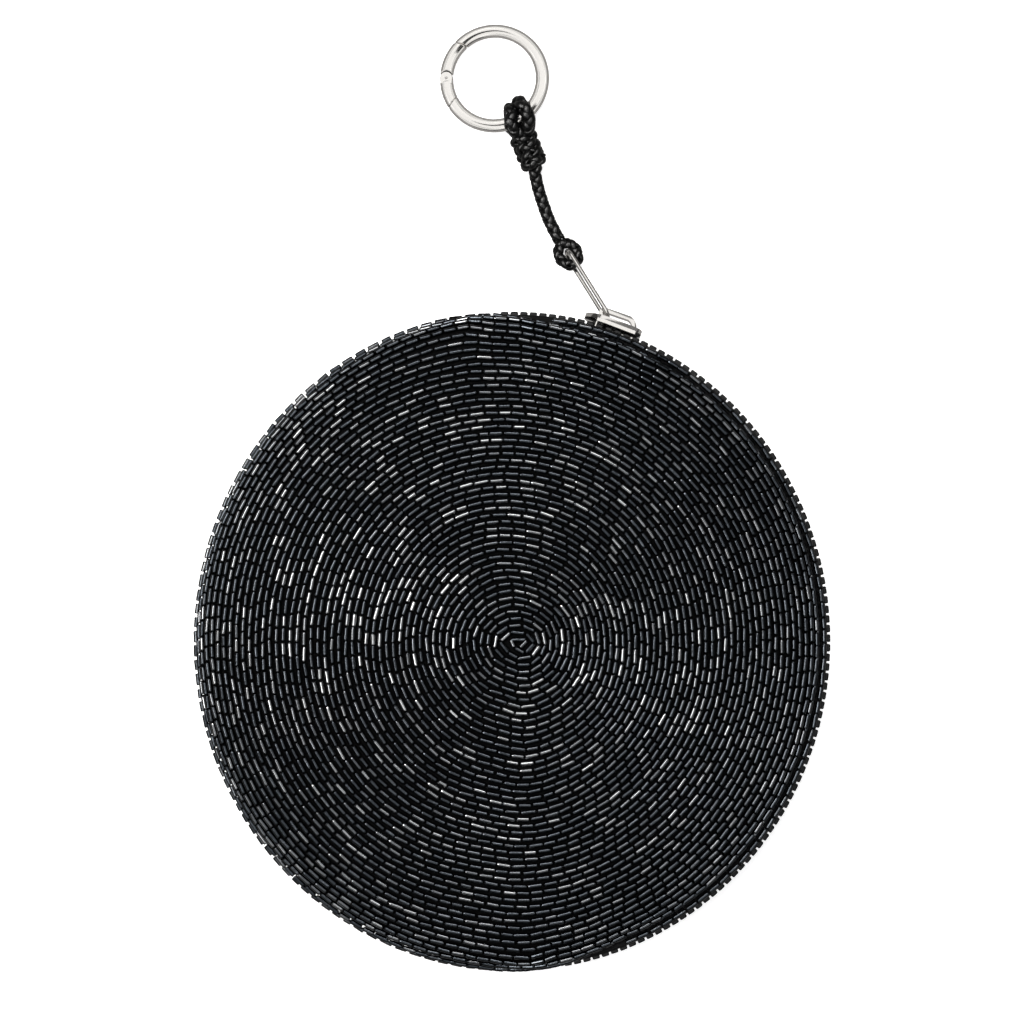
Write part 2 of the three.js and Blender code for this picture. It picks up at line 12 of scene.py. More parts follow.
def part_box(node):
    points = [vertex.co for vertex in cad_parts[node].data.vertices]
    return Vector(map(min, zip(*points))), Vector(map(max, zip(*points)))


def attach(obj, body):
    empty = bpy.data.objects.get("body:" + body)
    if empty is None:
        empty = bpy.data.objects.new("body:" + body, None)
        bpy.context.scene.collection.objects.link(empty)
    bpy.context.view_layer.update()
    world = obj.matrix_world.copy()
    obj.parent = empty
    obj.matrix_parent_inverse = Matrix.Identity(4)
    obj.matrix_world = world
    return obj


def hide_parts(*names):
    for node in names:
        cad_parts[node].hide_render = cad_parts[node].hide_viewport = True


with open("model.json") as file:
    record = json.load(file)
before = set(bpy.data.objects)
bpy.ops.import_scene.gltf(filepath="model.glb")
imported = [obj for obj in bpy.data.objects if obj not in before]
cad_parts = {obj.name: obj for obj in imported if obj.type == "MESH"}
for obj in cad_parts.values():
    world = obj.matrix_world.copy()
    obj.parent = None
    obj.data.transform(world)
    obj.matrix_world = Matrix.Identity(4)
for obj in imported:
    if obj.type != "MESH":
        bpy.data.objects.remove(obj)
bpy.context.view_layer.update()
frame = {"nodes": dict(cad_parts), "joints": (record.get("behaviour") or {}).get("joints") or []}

# Cloth panels: two round shells of black cloth, a domed front and a back that is flat where it lies. They
# are sewn edge to edge round the left side, and on the right each edge is turned in along its half of the
# zip.
FACING = {"front": 1, "back": -1}
HALF_WIDTH = 0.0722
HALF_HEIGHT = 0.07485
RIM_Z = 0.008
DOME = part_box("front_panel")[1].z - RIM_Z
DOME_POWER = 5
BACK_FLAT = 1.06
BACK_POWER = 7
SEAM_HALF_GAP = 0.00015
ZIP_TOP = 92.1
ZIP_BOTTOM = -80.7
ZIP_MARGIN = 8
ZIP_ANGLE_STEP = 0.25
ZIP_EDGE = 0.004
ZIP_INSET = {"front": 0.0023, "back": 0.0032}
INSET_ENDS = (-14, 5)
INSET_POWER = 6
SLIDER_AT = 71.5
SLIDER_EDGE = 0.0057
SLIDER_SPREAD = (0.0095, 0.018)
PARTED_BY_SLIDER = (-0.0018, 0.0046)
PARTED_BY_TOP = (0.001, 0.009)
SHUT_FROM = 1.2
SHUT_TO = 7
SLOW_SHUT = (-4, 34)
EDGE_POWER = 70
RISE_POWER = 14
NEAR_MIDDLE = 0.002
SMALL_SHARE = 1e-4
SMALL_ANGLE = 0.05
TABLE_STEP = 1.5
TABLE_COARSE = 400
TABLE_FINE = 700
TABLE_BLUR = 32
TABLE_EDGE_POWER = 9
CLOTH_WALL = 0.0006
CLOTH_UNDER_BEADS = 0.00128
CLOTH_RINGS = 44
CLOTH_SPOKES = 240


class Wire:
    """An output of a node. Arithmetic on it adds Math nodes, and its methods add others."""

    def __init__(self, tree, socket=None):
        self.tree = tree
        self.socket = socket

    def node(self, kind, settings=None, inputs=None, output=0):
        made = self.tree.nodes.new(kind)
        for name, value in (settings or {}).items():
            setattr(made, name, value)
        for name, value in (inputs or {}).items():
            if isinstance(value, Wire):
                self.tree.links.new(value.socket, made.inputs[name])
            else:
                made.inputs[name].default_value = value
        return Wire(self.tree, made.outputs[output]) if made.outputs else None

    def maths(self, operation, first, second):
        return self.node("ShaderNodeMath", {"operation": operation}, {0: first, 1: second})

    def __add__(self, other):
        return self.maths("ADD", self, other)

    def __radd__(self, other):
        return self.maths("ADD", other, self)

    def __rsub__(self, other):
        return self.maths("SUBTRACT", other, self)

    def __mul__(self, other):
        return self.maths("MULTIPLY", self, other)

    def __rmul__(self, other):
        return self.maths("MULTIPLY", other, self)

    def blend(self, low, high):
        return self.node("ShaderNodeMix", {"data_type": "RGBA"}, {0: self, 6: low, 7: high}, 2)

    def bump(self, strength, distance):
        depth = {"Strength": strength, "Distance": distance, "Height": self}
        return self.node("ShaderNodeBump", None, depth, "Normal")

    def place(self):
        return self.node("ShaderNodeTexCoord", output="Object")

    def noise(self, place, scale, detail):
        return self.node("ShaderNodeTexNoise", None, {"Vector": place, "Scale": scale, "Detail": detail})

    def waves(self, place, way, scale):
        return self.node("ShaderNodeTexWave", {"bands_direction": way}, {"Vector": place, "Scale": scale})


def new_finish(name):
    material = bpy.data.materials.new(name)
    material.use_nodes = True
    material.node_tree.nodes.clear()
    return material, Wire(material.node_tree)


def finish_with(wire, inputs):
    shader = wire.node("ShaderNodeBsdfPrincipled", None, inputs)
    wire.node("ShaderNodeOutputMaterial", None, {"Surface": shader})


def black_cloth():
    material, wire = new_finish("black_cloth")
    place = wire.place()
    warp = wire.waves(place, "X", 900.0)
    weft = wire.waves(place, "Y", 900.0)
    fluff = wire.noise(place, 2500.0, 3.0)
    finish_with(wire, {
        "Base Color": fluff.blend((0.0001, 0.0001, 0.00013, 1), (0.0004, 0.0004, 0.0005, 1)),
        "Roughness": 0.75 + fluff * 0.2,
        "IOR": 1.15,
        "Normal": (warp * weft + fluff * 0.4).bump(0.5, 0.0001),
    })
    return material


def ease(x, low, high):
    share = np.clip((x - low) / (high - low), 0, 1)
    return share * share * (3 - 2 * share)


def turned(angle):
    return (angle + 180) % 360 - 180


def rim(angle, inset=0.0):
    turn = np.radians(angle)
    across = np.cos(turn) / HALF_WIDTH
    up = np.sin(turn) / HALF_HEIGHT
    size = np.hypot(across, up)
    return HALF_WIDTH * np.cos(turn) - inset * across / size, HALF_HEIGHT * np.sin(turn) - inset * up / size


# Lengths along the rim run clockwise from the zip's top end.
zip_angles = np.arange(ZIP_TOP + ZIP_MARGIN, ZIP_BOTTOM - ZIP_MARGIN, -ZIP_ANGLE_STEP)
zip_steps = np.hypot(*np.diff(rim(zip_angles), axis=1))
zip_lengths = np.concatenate([[0], np.cumsum(zip_steps)])
zip_lengths -= np.interp(-ZIP_TOP, -zip_angles, zip_lengths)


def angle_at(length):
    return np.interp(length, zip_lengths, zip_angles)


def length_at(angle):
    return np.interp(-angle, -zip_angles, zip_lengths)


ZIP_LENGTH = length_at(ZIP_BOTTOM)
SLIDER_LENGTH_AT = length_at(SLIDER_AT)


def past_zip(angle):
    return np.abs(turned(angle - (ZIP_TOP + ZIP_BOTTOM) / 2)) - (ZIP_TOP - ZIP_BOTTOM) / 2


def open_share(length):
    return (1 - ease(length - SLIDER_LENGTH_AT, *PARTED_BY_SLIDER)) * ease(length, *PARTED_BY_TOP)


def spread_share(angle):
    along = np.abs(turned(angle - SLIDER_AT)) * math.radians(1) * HALF_HEIGHT
    return np.maximum(1 - ease(along, *SLIDER_SPREAD), open_share(length_at(turned(angle))))


def edge_height(angle, shut_from=SHUT_FROM, shut_to=SHUT_TO):
    zipped = ZIP_EDGE + (SLIDER_EDGE - ZIP_EDGE) * spread_share(angle)
    return SEAM_HALF_GAP + (zipped - SEAM_HALF_GAP) * (1 - ease(past_zip(angle), shut_from, shut_to))


def panel_face(side, share, angle, shut_to):
    """The outer face. Only its very edge shuts fast past the zip's ends, and the rest follows slowly."""
    inset = ZIP_INSET[side] * (1 - ease(past_zip(angle), *INSET_ENDS)) * share**INSET_POWER
    x, y = rim(angle, inset)
    slow = edge_height(angle, *SLOW_SHUT)
    edge = slow + (edge_height(angle, SHUT_FROM, shut_to) - slow) * share**EDGE_POWER
    rise = DOME * np.sqrt(1 - share**DOME_POWER) + edge * share**RISE_POWER
    fall = edge + (RIM_Z - edge) * np.minimum(1, BACK_FLAT * np.sqrt(1 - share**BACK_POWER))
    z = RIM_Z + rise if side == "front" else RIM_Z - fall
    return np.stack([x * share, y * share, z], -1)


def panel_point(side, share, angle, depth, shut_to=SHUT_TO):
    """A place that far under the panel's outer face, and the outward normal there."""
    share = np.clip(share, NEAR_MIDDLE, 1)
    further = panel_face(side, np.minimum(share + SMALL_SHARE, 1), angle, shut_to)
    out = further - panel_face(side, share - SMALL_SHARE, angle, shut_to)
    ahead = panel_face(side, share, angle + SMALL_ANGLE, shut_to)
    along = ahead - panel_face(side, share, angle - SMALL_ANGLE, shut_to)
    normal = FACING[side] * np.cross(out, along)
    normal /= np.linalg.norm(normal, axis=-1, keepdims=True)
    return panel_face(side, share, angle, shut_to) - depth * normal, normal


def even_shares(side):
    """For each angle, the share of the way out at even fractions of the length over the panel's face. The
    spacing changes slowly round the disc, and only the outermost rows follow the step at the zip's ends."""
    shares = 1 - np.linspace(1, 0, TABLE_COARSE) ** 2
    angles = np.arange(0, 360, TABLE_STEP)
    grid_share, grid_angle = np.meshgrid(shares, angles)
    places, _ = panel_point(side, grid_share, grid_angle, CLOTH_UNDER_BEADS / 2)
    steps = np.linalg.norm(np.diff(places, axis=1), axis=2)
    lengths = np.pad(np.cumsum(steps, axis=1), ((0, 0), (1, 0)))
    fractions = np.linspace(0, 1, TABLE_FINE)
    apart = np.abs(turned(angles[:, None] - angles[None, :]))
    weights = np.exp(-((apart / TABLE_BLUR) ** 2))
    slow = weights @ lengths[:, -1] / weights.sum(axis=1)
    table = []
    for run, even in zip(lengths, slow):
        reach = even + (run[-1] - even) * fractions**TABLE_EDGE_POWER
        table.append(np.interp(fractions * reach, run, shares))
    return np.array(table), lengths[:, -1].mean()


def share_at(table, fraction, angle):
    across = (angle % 360) / TABLE_STEP
    left = np.floor(across).astype(int) % len(table)
    right = (left + 1) % len(table)
    part = across - np.floor(across)
    spot = np.clip(fraction, 0, 1) * (TABLE_FINE - 1)
    low = np.minimum(spot.astype(int), TABLE_FINE - 2)
    up = spot - low
    near = table[left, low] * (1 - up) + table[left, low + 1] * up
    far = table[right, low] * (1 - up) + table[right, low + 1] * up
    return near * (1 - part) + far * part


def put(name, data):
    made = bpy.data.objects.new(name, data)
    bpy.context.scene.collection.objects.link(made)
    return made


def add_piece(name, points, faces, material):
    mesh = bpy.data.meshes.new(name)
    mesh.from_pydata([tuple(map(float, p)) for p in points], [], faces)
    mesh.polygons.foreach_set("use_smooth", [True] * len(mesh.polygons))
    mesh.materials.append(material)
    return put(name, mesh)


def skin_rings(rings, count, flip):
    """Faces between rings of points in a row, with a fan to one more point at each end."""
    faces = []
    last = (rings - 1) * count
    for k in range(count):
        n = (k + 1) % count
        for low in range(0, last, count):
            high = low + count
            faces.append((low + k, high + k, high + n, low + n))
        faces.append((rings * count, k, n))
        faces.append((rings * count + 1, last + n, last + k))
    return [face[::-1] for face in faces] if flip else faces


cloth_finish = black_cloth()
share_tables = {}
for side in ("front", "back"):
    share_tables[side] = even_shares(side)
    spokes = np.arange(CLOTH_SPOKES) * 360 / CLOTH_SPOKES
    points = []
    outside = np.linspace(0, 1, CLOTH_RINGS + 1)[1:]
    for depth, fractions in ((0, outside), (CLOTH_WALL, outside[::-1])):
        for fraction in fractions:
            shares = share_at(share_tables[side][0], np.full(CLOTH_SPOKES, fraction), spokes)
            points.extend(panel_point(side, shares, spokes, CLOTH_UNDER_BEADS + depth)[0])
    middle = panel_point(side, np.array([NEAR_MIDDLE]), np.array([0]), CLOTH_UNDER_BEADS)[0][0]
    points.append((0, 0, middle[2]))
    points.append((0, 0, middle[2] - FACING[side] * CLOTH_WALL))
    faces = skin_rings(2 * CLOTH_RINGS, CLOTH_SPOKES, side == "back")
    cloth = add_piece(f"{side}_cloth", points, faces, cloth_finish)
    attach(cloth, "purse")
    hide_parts(f"{side}_panel")

# Bugle beads: short black glass tubes with flat cut ends, threaded on one long row that winds round each
# panel from a pair of beads in the middle to the rim. Each turn is couched to the cloth, with a small jog at
# the bottom.
BEAD_SEED = {"front": 11, "back": 29}
BEAD_WIDTH = 0.00116
BEAD_WIDTH_SHARE = (0.95, 1.0)
BEAD_LENGTH = 0.00287
BEAD_LENGTH_SPREAD = 0.00026
BEAD_LENGTH_LIMITS = (0.0019, 0.0034)
BEAD_PROFILE = ((0.425, -0.5), (0.5, -0.41), (0.5, 0.41), (0.425, 0.5))
BEAD_SIDES = 10
BEAD_TILT = math.radians(3.6)
BEAD_ROLL = math.pi
BEAD_SINK = {"front": 0, "back": 0.00012}
BEAD_GAP = (0.00014, 0.00046)
RIM_GAP = 0.0004
RIM_OUT = {"front": 0.00036, "back": 0}
RIM_OUT_ROWS = (1.3, 1)
RIM_OUT_PAST_ZIP = (2, 12)
ROW_PITCH = 0.0015
ROW_CENTRE = (0.0012, -0.0002)
ROW_WAVES = (
    {"size": 0.1, "around": 2, "drift": 0.21},
    {"size": 0.08, "around": 5, "drift": -0.13},
)
WAVY_FROM_ROW = 6
WAVE_POWER = 4
MIDDLE_HALF_LENGTH = 0.0015
MIDDLE_ROWS = 9
FIRST_ROW = 0.55
FREE_ROWS = {"front": 0, "back": 1}
JOG_SHARE = 0.07
BOTTOM_POINT = 0.025
BOTTOM_POINT_WIDTH = 13
ZIP_ROW_INSET = {"front": 0.0015, "back": 0.0023}
ZIP_ROW_RISE = 0.0001
ZIP_ROW_SHORT = 9.5
ZIP_ROW_STEP = 0.2
BEADS_SHUT_TO = 16
PATH_STEP = 0.00025
PATH_LEAST_STEPS = 24
# Painted sheen: the beads' coat, and so their shine, is raised near a spot left of the middle and falls off
# with distance from it. It stands in for the stronger light on that side.
PAINTED_SHEEN_AT = (-0.022, 0.006, 0.02)
PAINTED_SHEEN_MOST = 1.75
PAINTED_SHEEN_FALL = 15
MATT_SHUFFLE = 7
MATT_ROUGH = 0.22


def bead_glass():
    material, wire = new_finish("black_bead_glass")
    place = wire.place()
    tone = wire.node("ShaderNodeAttribute", {"attribute_name": "tone"}, output="Fac")
    matt = wire.maths("FRACT", tone * MATT_SHUFFLE, 0)
    # Distance from the spot of the painted sheen.
    reach = wire.node("ShaderNodeVectorMath", {"operation": "DISTANCE"}, {0: place, 1: PAINTED_SHEEN_AT}, "Value")
    ripple = wire.noise(place, 900.0, 2.0)
    haze = wire.noise(place, 2600.0, 3.0)
    finish_with(wire, {
        "Base Color": tone.blend((0.0002, 0.00023, 0.0003, 1), (0.0006, 0.0007, 0.001, 1)),
        "Roughness": 0.04 + haze * 0.05 + matt * matt * matt * MATT_ROUGH,
        "IOR": 1.5,
        "Specular Tint": (0.78, 0.88, 1.0, 1),
        # Coat: a random tone per bead, scaled by the painted sheen that is strongest near the spot left of
        # the middle.
        "Coat Weight": tone * tone * tone * tone * tone * (PAINTED_SHEEN_MOST - PAINTED_SHEEN_FALL * reach),
        "Coat IOR": 2.4,
        "Coat Roughness": 0.04,
        "Normal": ripple.bump(0.36, 0.0002),
    })
    return material


def mesh_from(shape, name):
    data = bpy.data.meshes.new(name)
    shape.to_mesh(data)
    shape.free()
    return data


def polar(turn, reach, rise):
    return Vector((reach * math.cos(turn), reach * math.sin(turn), rise))


def unit_bead():
    """A tube of width 1 and length 1 along Z, with cut ends that are eased a little."""
    shape = bmesh.new()
    turns = [2 * math.pi * k / BEAD_SIDES for k in range(BEAD_SIDES)]
    rings = []
    for radius, height in BEAD_PROFILE:
        rings.append([shape.verts.new(polar(t, radius, height)) for t in turns])
    for low, high in zip(rings, rings[1:]):
        for k in range(BEAD_SIDES):
            n = (k + 1) % BEAD_SIDES
            face = shape.faces.new((low[k], low[n], high[n], high[k]))
            face.smooth = True
    shape.faces.new(rings[0][::-1])
    shape.faces.new(rings[-1])
    for edge in shape.edges:
        edge.smooth = edge.verts[0].co.z != edge.verts[1].co.z
    return put("unit_bead", mesh_from(shape, "unit_bead"))


def place_tree():
    """Puts a copy of one shape at every point, turned and sized by the points, with a small random tilt."""
    tree = bpy.data.node_groups.new("placed_copies", "GeometryNodeTree")
    kinds = {"Places": "Geometry", "Shape": "Object", "Tilt": "Float", "Roll": "Float", "Seed": "Int",
             "Finish": "Material"}
    for name, kind in kinds.items():
        tree.interface.new_socket(name, in_out="INPUT", socket_type=f"NodeSocket{kind}")
    tree.interface.new_socket("Copies", in_out="OUTPUT", socket_type="NodeSocketGeometry")
    wire = Wire(tree)
    given = tree.nodes.new("NodeGroupInput")
    known = {name: Wire(tree, given.outputs[name]) for name in kinds}
    shape = wire.node("GeometryNodeObjectInfo", None, {"Object": known["Shape"]}, "Geometry")
    turn, size = (
        wire.node("GeometryNodeInputNamedAttribute", {"data_type": "FLOAT_VECTOR"}, {"Name": name})
        for name in ("turn", "size")
    )
    loose = {"X": known["Tilt"], "Y": known["Tilt"], "Z": known["Roll"]}
    slack = wire.node("ShaderNodeCombineXYZ", None, loose)
    less = wire.node("ShaderNodeVectorMath", {"operation": "SCALE"}, {0: slack, "Scale": -1.0})
    jitter = wire.node("FunctionNodeRandomValue", {"data_type": "FLOAT_VECTOR"}, {
        0: less, 1: slack, "Seed": known["Seed"],
    })
    first, second = (
        wire.node("FunctionNodeEulerToRotation", None, {"Euler": euler}) for euler in (turn, jitter)
    )
    whole = wire.node("FunctionNodeRotateRotation", {"rotation_space": "LOCAL"}, {
        "Rotation": first, "Rotate By": second,
    })
    copies = wire.node("GeometryNodeInstanceOnPoints", None, {
        "Points": known["Places"], "Instance": shape, "Rotation": whole, "Scale": size,
    })
    tone = wire.node("FunctionNodeRandomValue", {"data_type": "FLOAT"}, {"Seed": known["Seed"] + 1}, 1)
    marked = wire.node("GeometryNodeStoreNamedAttribute", {"data_type": "FLOAT", "domain": "INSTANCE"}, {
        "Geometry": copies, "Name": "tone", "Value": tone,
    })
    real = wire.node("GeometryNodeRealizeInstances", None, {"Geometry": marked})
    done = wire.node("GeometryNodeSetMaterial", None, {"Geometry": real, "Material": known["Finish"]})
    wire.node("NodeGroupOutput", None, {"Copies": done})
    return tree


def placed_copies(name, places, turns, sizes, shape, material, tilt, roll, seed):
    """One plain mesh of all the copies."""
    mesh = bpy.data.meshes.new(name + "_places")
    mesh.from_pydata([tuple(map(float, p)) for p in places], [], [])
    for label, rows in (("turn", turns), ("size", sizes)):
        values = mesh.attributes.new(label, "FLOAT_VECTOR", "POINT")
        values.data.foreach_set("vector", np.asarray(rows, np.float32).ravel())
    holder = put(mesh.name, mesh)
    nodes = holder.modifiers.new("copies", "NODES")
    nodes.node_group = copy_tree
    given = {"Shape": shape, "Tilt": tilt, "Roll": roll, "Seed": seed, "Finish": material}
    for item in copy_tree.interface.items_tree:
        if item.in_out == "INPUT" and item.name in given:
            nodes[item.identifier] = given[item.name]
    graph = bpy.context.evaluated_depsgraph_get()
    made = bpy.data.meshes.new_from_object(
        holder.evaluated_get(graph), preserve_all_data_layers=True, depsgraph=graph,
    )
    made.name = name
    bpy.data.objects.remove(holder)
    return put(name, made)


def turned_to(along, up):
    """Euler angles that turn Z along one direction, with X as near as can be to the other."""
    z = along.normalized()
    x = (up - up.dot(z) * z).normalized()
    y = z.cross(x)
    return Matrix((x, y, z)).transposed().to_euler()


def run_along(line):
    """Length along a line up to each of its points."""
    return np.concatenate([[0], np.cumsum(np.linalg.norm(np.diff(line, axis=0), axis=1))])


def at_run(where, run, rows):
    """The rows at some lengths along their line."""
    return np.stack([np.interp(where, run, column) for column in rows.T], -1)


def threaded(places, normals, dice, rim_from):
    """Middle, turn and size of each bead along a line. Past rim_from the beads stand further apart."""
    run = run_along(places)
    many = int(run[-1] / BEAD_LENGTH)
    lengths = np.clip(dice.normal(BEAD_LENGTH, BEAD_LENGTH_SPREAD, many), *BEAD_LENGTH_LIMITS)
    starts = np.concatenate([[0], np.cumsum(lengths + dice.uniform(*BEAD_GAP, many))[:-1]])
    at_rim = starts > run[min(rim_from, len(run) - 1)]
    lengths = np.where(at_rim, lengths - RIM_GAP, lengths)
    fits = starts + lengths < run[-1]
    starts = starts[fits]
    lengths = lengths[fits]
    first = at_run(starts, run, places)
    last = at_run(starts + lengths, run, places)
    ups = at_run(starts + lengths / 2, run, normals)
    eulers = [turned_to(Vector(b - a), Vector(u)) for a, b, u in zip(first, last, ups)]
    spans = np.linalg.norm(last - first, axis=1)
    widths = BEAD_WIDTH * dice.uniform(*BEAD_WIDTH_SHARE, len(spans))
    return (first + last) / 2, eulers, np.stack([widths, widths, spans], -1)


def bead_rows(side, dice):
    """The long row of one panel."""
    table, length = share_tables[side]
    rows = round(length / ROW_PITCH)
    sweep = []
    for row in range(rows):
        around = 2 * math.pi * max(row + 0.5, 1) * ROW_PITCH
        steps = max(PATH_LEAST_STEPS, int(around / PATH_STEP))
        sweep.append(row + np.linspace(0, 1, steps, endpoint=False))
    turns = np.concatenate(sweep)
    whole = np.floor(turns)
    part = turns - whole
    angle = -90 + 360 * JOG_SHARE / 2 + 360 * part
    wave = 0
    for row in ROW_WAVES:
        wave = wave + row["size"] * np.sin(np.radians(row["around"] * angle) + row["drift"] * turns)
    count = whole + FIRST_ROW + ease(part, 1 - JOG_SHARE, 1)
    fraction = count / (rows - 1 + FIRST_ROW + FREE_ROWS[side])
    fraction = fraction + wave * np.clip(turns / WAVY_FROM_ROW, 0, 1) * (1 - fraction**WAVE_POWER) / rows
    fraction = np.minimum(fraction, 1)
    past_bottom = np.abs(turned(angle + 90))
    pointed = BOTTOM_POINT * np.exp(-past_bottom / BOTTOM_POINT_WIDTH) * (1 - fraction)
    fraction = fraction * (1 + pointed)
    depth = BEAD_WIDTH / 2 + BEAD_SINK[side]
    places, normals = panel_point(side, share_at(table, fraction, angle), angle, depth, BEADS_SHUT_TO)
    from_row, to_row = (rows - back for back in RIM_OUT_ROWS)
    out = RIM_OUT[side] * ease(turns, from_row, to_row) * ease(past_zip(angle), *RIM_OUT_PAST_ZIP)
    outward = np.stack([np.cos(np.radians(angle)), np.sin(np.radians(angle))], -1)
    places[:, :2] += out[:, None] * outward
    places[:, :2] += (1 - fraction[:, None]) ** 2 * ROW_CENTRE
    places[:, 0] += MIDDLE_HALF_LENGTH * np.exp(-turns / MIDDLE_ROWS) * outward[:, 0]
    return threaded(places, normals, dice, np.searchsorted(turns, rows - 1))


def zip_row(side, dice):
    """One more row along the zip, sewn on the tape outside the panel's turned edge."""
    angle = np.arange(ZIP_TOP - ZIP_ROW_SHORT, ZIP_BOTTOM + ZIP_ROW_SHORT, -ZIP_ROW_STEP)
    x, y = rim(angle, ZIP_ROW_INSET[side])
    sign = FACING[side]
    z = RIM_Z + sign * (edge_height(angle) + ZIP_ROW_RISE)
    places = np.stack([x, y, z], -1)
    return threaded(places, np.tile((0.0, 0.0, sign), (len(places), 1)), dice, len(places))


copy_tree = place_tree()
bead_finish = bead_glass()
one_bead = unit_bead()
for side, seed in BEAD_SEED.items():
    dice = np.random.default_rng(seed)
    spiral = bead_rows(side, dice)
    half = len(spiral[0]) // 2
    rows = {
        "inner": [column[:half] for column in spiral],
        "outer": [column[half:] for column in spiral],
        "zip_row": zip_row(side, dice),
    }
    for part, row in rows.items():
        beads = placed_copies(f"{side}_beads_{part}", *row, one_bead, bead_finish, BEAD_TILT, BEAD_ROLL, seed)
        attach(beads, "purse")
bpy.data.objects.remove(one_bead)

# Zip tapes: black woven strips sewn under the panels' turned edges. A narrow ribbed band of each shows
# between the beads and the teeth, and past the last teeth it turns in as a tongue that shuts the zip's end.
TAPE_WALL = 0.0007
TAPE_SECTION = (
    {"run": (0.001, 0.00288), "slider": (0.00105, 0.00288), "tongue_inset": 0.0029, "tongue_share": 0},
    {"run": (0.00125, 0.0032), "slider": (0.0011, 0.00475), "tongue_inset": 0.003, "tongue_share": 0.6},
    {"run": (0.0026, 0.00333), "slider": (0.0026, 0.00503), "tongue_inset": 0.0034, "tongue_share": 1},
    {"run": (0.0062, 0.00333), "slider": (0.0062, 0.00503), "tongue_inset": 0.0062, "tongue_share": 1},
)
TONGUE_LENGTH = 0.0042
TONGUE_TURN = 0.0009
TONGUE_LOW = 0.0002
TAPE_UNDER_EDGE = 0.00067
TAPE_STEP = 0.0011
TAPE_ACROSS = 17
TAPE_LEAST_RISE = 0.00015
ROW_SHIFT = {"front": 0, "back": 0.0009}
ROW_PARTING = 0.001


def woven_tape():
    material, wire = new_finish("woven_tape")
    place = wire.node("ShaderNodeUVMap", {"uv_map": "weave"})
    ribs = wire.waves(place, "Y", 1000.0)
    picks = wire.waves(place, "X", 1400.0)
    fluff = wire.noise(place, 2200.0, 3.0)
    shade = ribs * 0.6 + fluff * 0.4
    finish_with(wire, {
        "Base Color": shade.blend((0.0002, 0.0002, 0.00025, 1), (0.002, 0.002, 0.0024, 1)),
        "Roughness": 0.62 + fluff * 0.25,
        "IOR": 1.25,
        "Normal": (ribs + picks * 0.35 + fluff * 0.3).bump(0.7, 0.00012),
    })
    return material


def loft(loops, ring=False):
    """Points and faces of a skin over closed loops in a row, capped at its ends or joined in a ring."""
    count = len(loops[0])
    points = [point for loop in loops for point in loop]
    faces = []
    for here in range(len(loops) if ring else len(loops) - 1):
        there = (here + 1) % len(loops)
        for k in range(count):
            n = (k + 1) % count
            faces.append((here * count + k, here * count + n, there * count + n, there * count + k))
    if not ring:
        faces.append(tuple(range(count))[::-1])
        faces.append(tuple(range(len(points) - count, len(points))))
    return points, faces


def joined(parts):
    points = []
    faces = []
    for part_points, part_faces in parts:
        faces.extend(tuple(k + len(points) for k in face) for face in part_faces)
        points.extend(part_points)
    return points, faces


def face_out(piece):
    shape = bmesh.new()
    shape.from_mesh(piece.data)
    bmesh.ops.recalc_face_normals(shape, faces=shape.faces)
    shape.to_mesh(piece.data)
    shape.free()
    return piece


def tape_rows(length):
    """Inset and reach of the tape's middle line, from the teeth to under the panel's edge."""
    angle = angle_at(length)
    near = spread_share(angle)
    plain = np.array([row["run"] for row in TAPE_SECTION])
    spread = np.array([row["slider"] for row in TAPE_SECTION])
    rows = plain * (1 - near) + spread * near
    rows[0, 1] += ROW_PARTING * open_share(length)
    rows[1, 1] = max(rows[1, 1], rows[0, 1] + TAPE_LEAST_RISE)
    rows[2, 1] = max(rows[2, 1], rows[1, 1])
    top = edge_height(angle) - TAPE_UNDER_EDGE
    tongue = np.array([
        (row["tongue_inset"], max(row["tongue_share"] * top, TONGUE_LOW)) for row in TAPE_SECTION
    ])
    part = np.clip(max(-length, length - ZIP_LENGTH) / TONGUE_TURN, 0, 1)
    return rows * (1 - part) + tongue * part


def tape(side):
    loops = []
    places = []
    for length in np.arange(-TONGUE_LENGTH, ZIP_LENGTH + TONGUE_LENGTH, TAPE_STEP):
        rows = tape_rows(length)
        run = run_along(rows)
        spots = np.linspace(0, run[-1], TAPE_ACROSS)
        line = at_run(spots, run, rows)
        line[1:-1] = (line[:-2] + 2 * line[1:-1] + line[2:]) / 4
        along = np.gradient(line, axis=0)
        outward = np.stack([-along[:, 1], along[:, 0]], -1) / np.linalg.norm(along, axis=1, keepdims=True)
        edges = []
        for half in (TAPE_WALL / 2, -TAPE_WALL / 2):
            edge = line + half * outward
            x, y = rim(angle_at(length), edge[:, 0] + ROW_SHIFT[side])
            edges.append(np.stack([x, y, RIM_Z + FACING[side] * edge[:, 1]], -1))
        loops.append([*edges[0], *edges[1][::-1]])
        places += [(length, spot) for spot in (*spots, *spots[::-1])]
    strip = face_out(add_piece(f"zip_tape_{side}_weave", *loft(loops), tape_finish))
    layer = strip.data.uv_layers.new(name="weave")
    for loop in strip.data.loops:
        layer.data[loop.index].uv = places[loop.vertex_index]
    return strip


tape_finish = woven_tape()
for side in ("front", "back"):
    strip = tape(side)
    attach(strip, "purse")
    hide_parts(f"zip_tape_{side}")

# Zip teeth: two rows of black moulded blocks, half a pitch apart so that they mesh. Each row is clamped on a
# thick cord along its tape's edge.
UP = Vector((0, 0, 1))
TOOTH_PITCH = 0.0022
TOOTH_FIRST = {"front": 0, "back": TOOTH_PITCH / 2}
TOOTH_SIZE = Vector((0.00172, 0.002, 0.00235))
TOOTH_NOTCH = 0.0012
TOOTH_EASE = 0.00028
TOOTH_TILT = math.radians(1.2)
TOOTH_ROLL = math.radians(1.5)
TOOTH_SEED = 7
EDGE_CORD_SIDES = 10
EDGE_CORD_HALF = 0.0004
EDGE_CORD_CLEAR = 0.0002
SMALL_INSET = 0.001


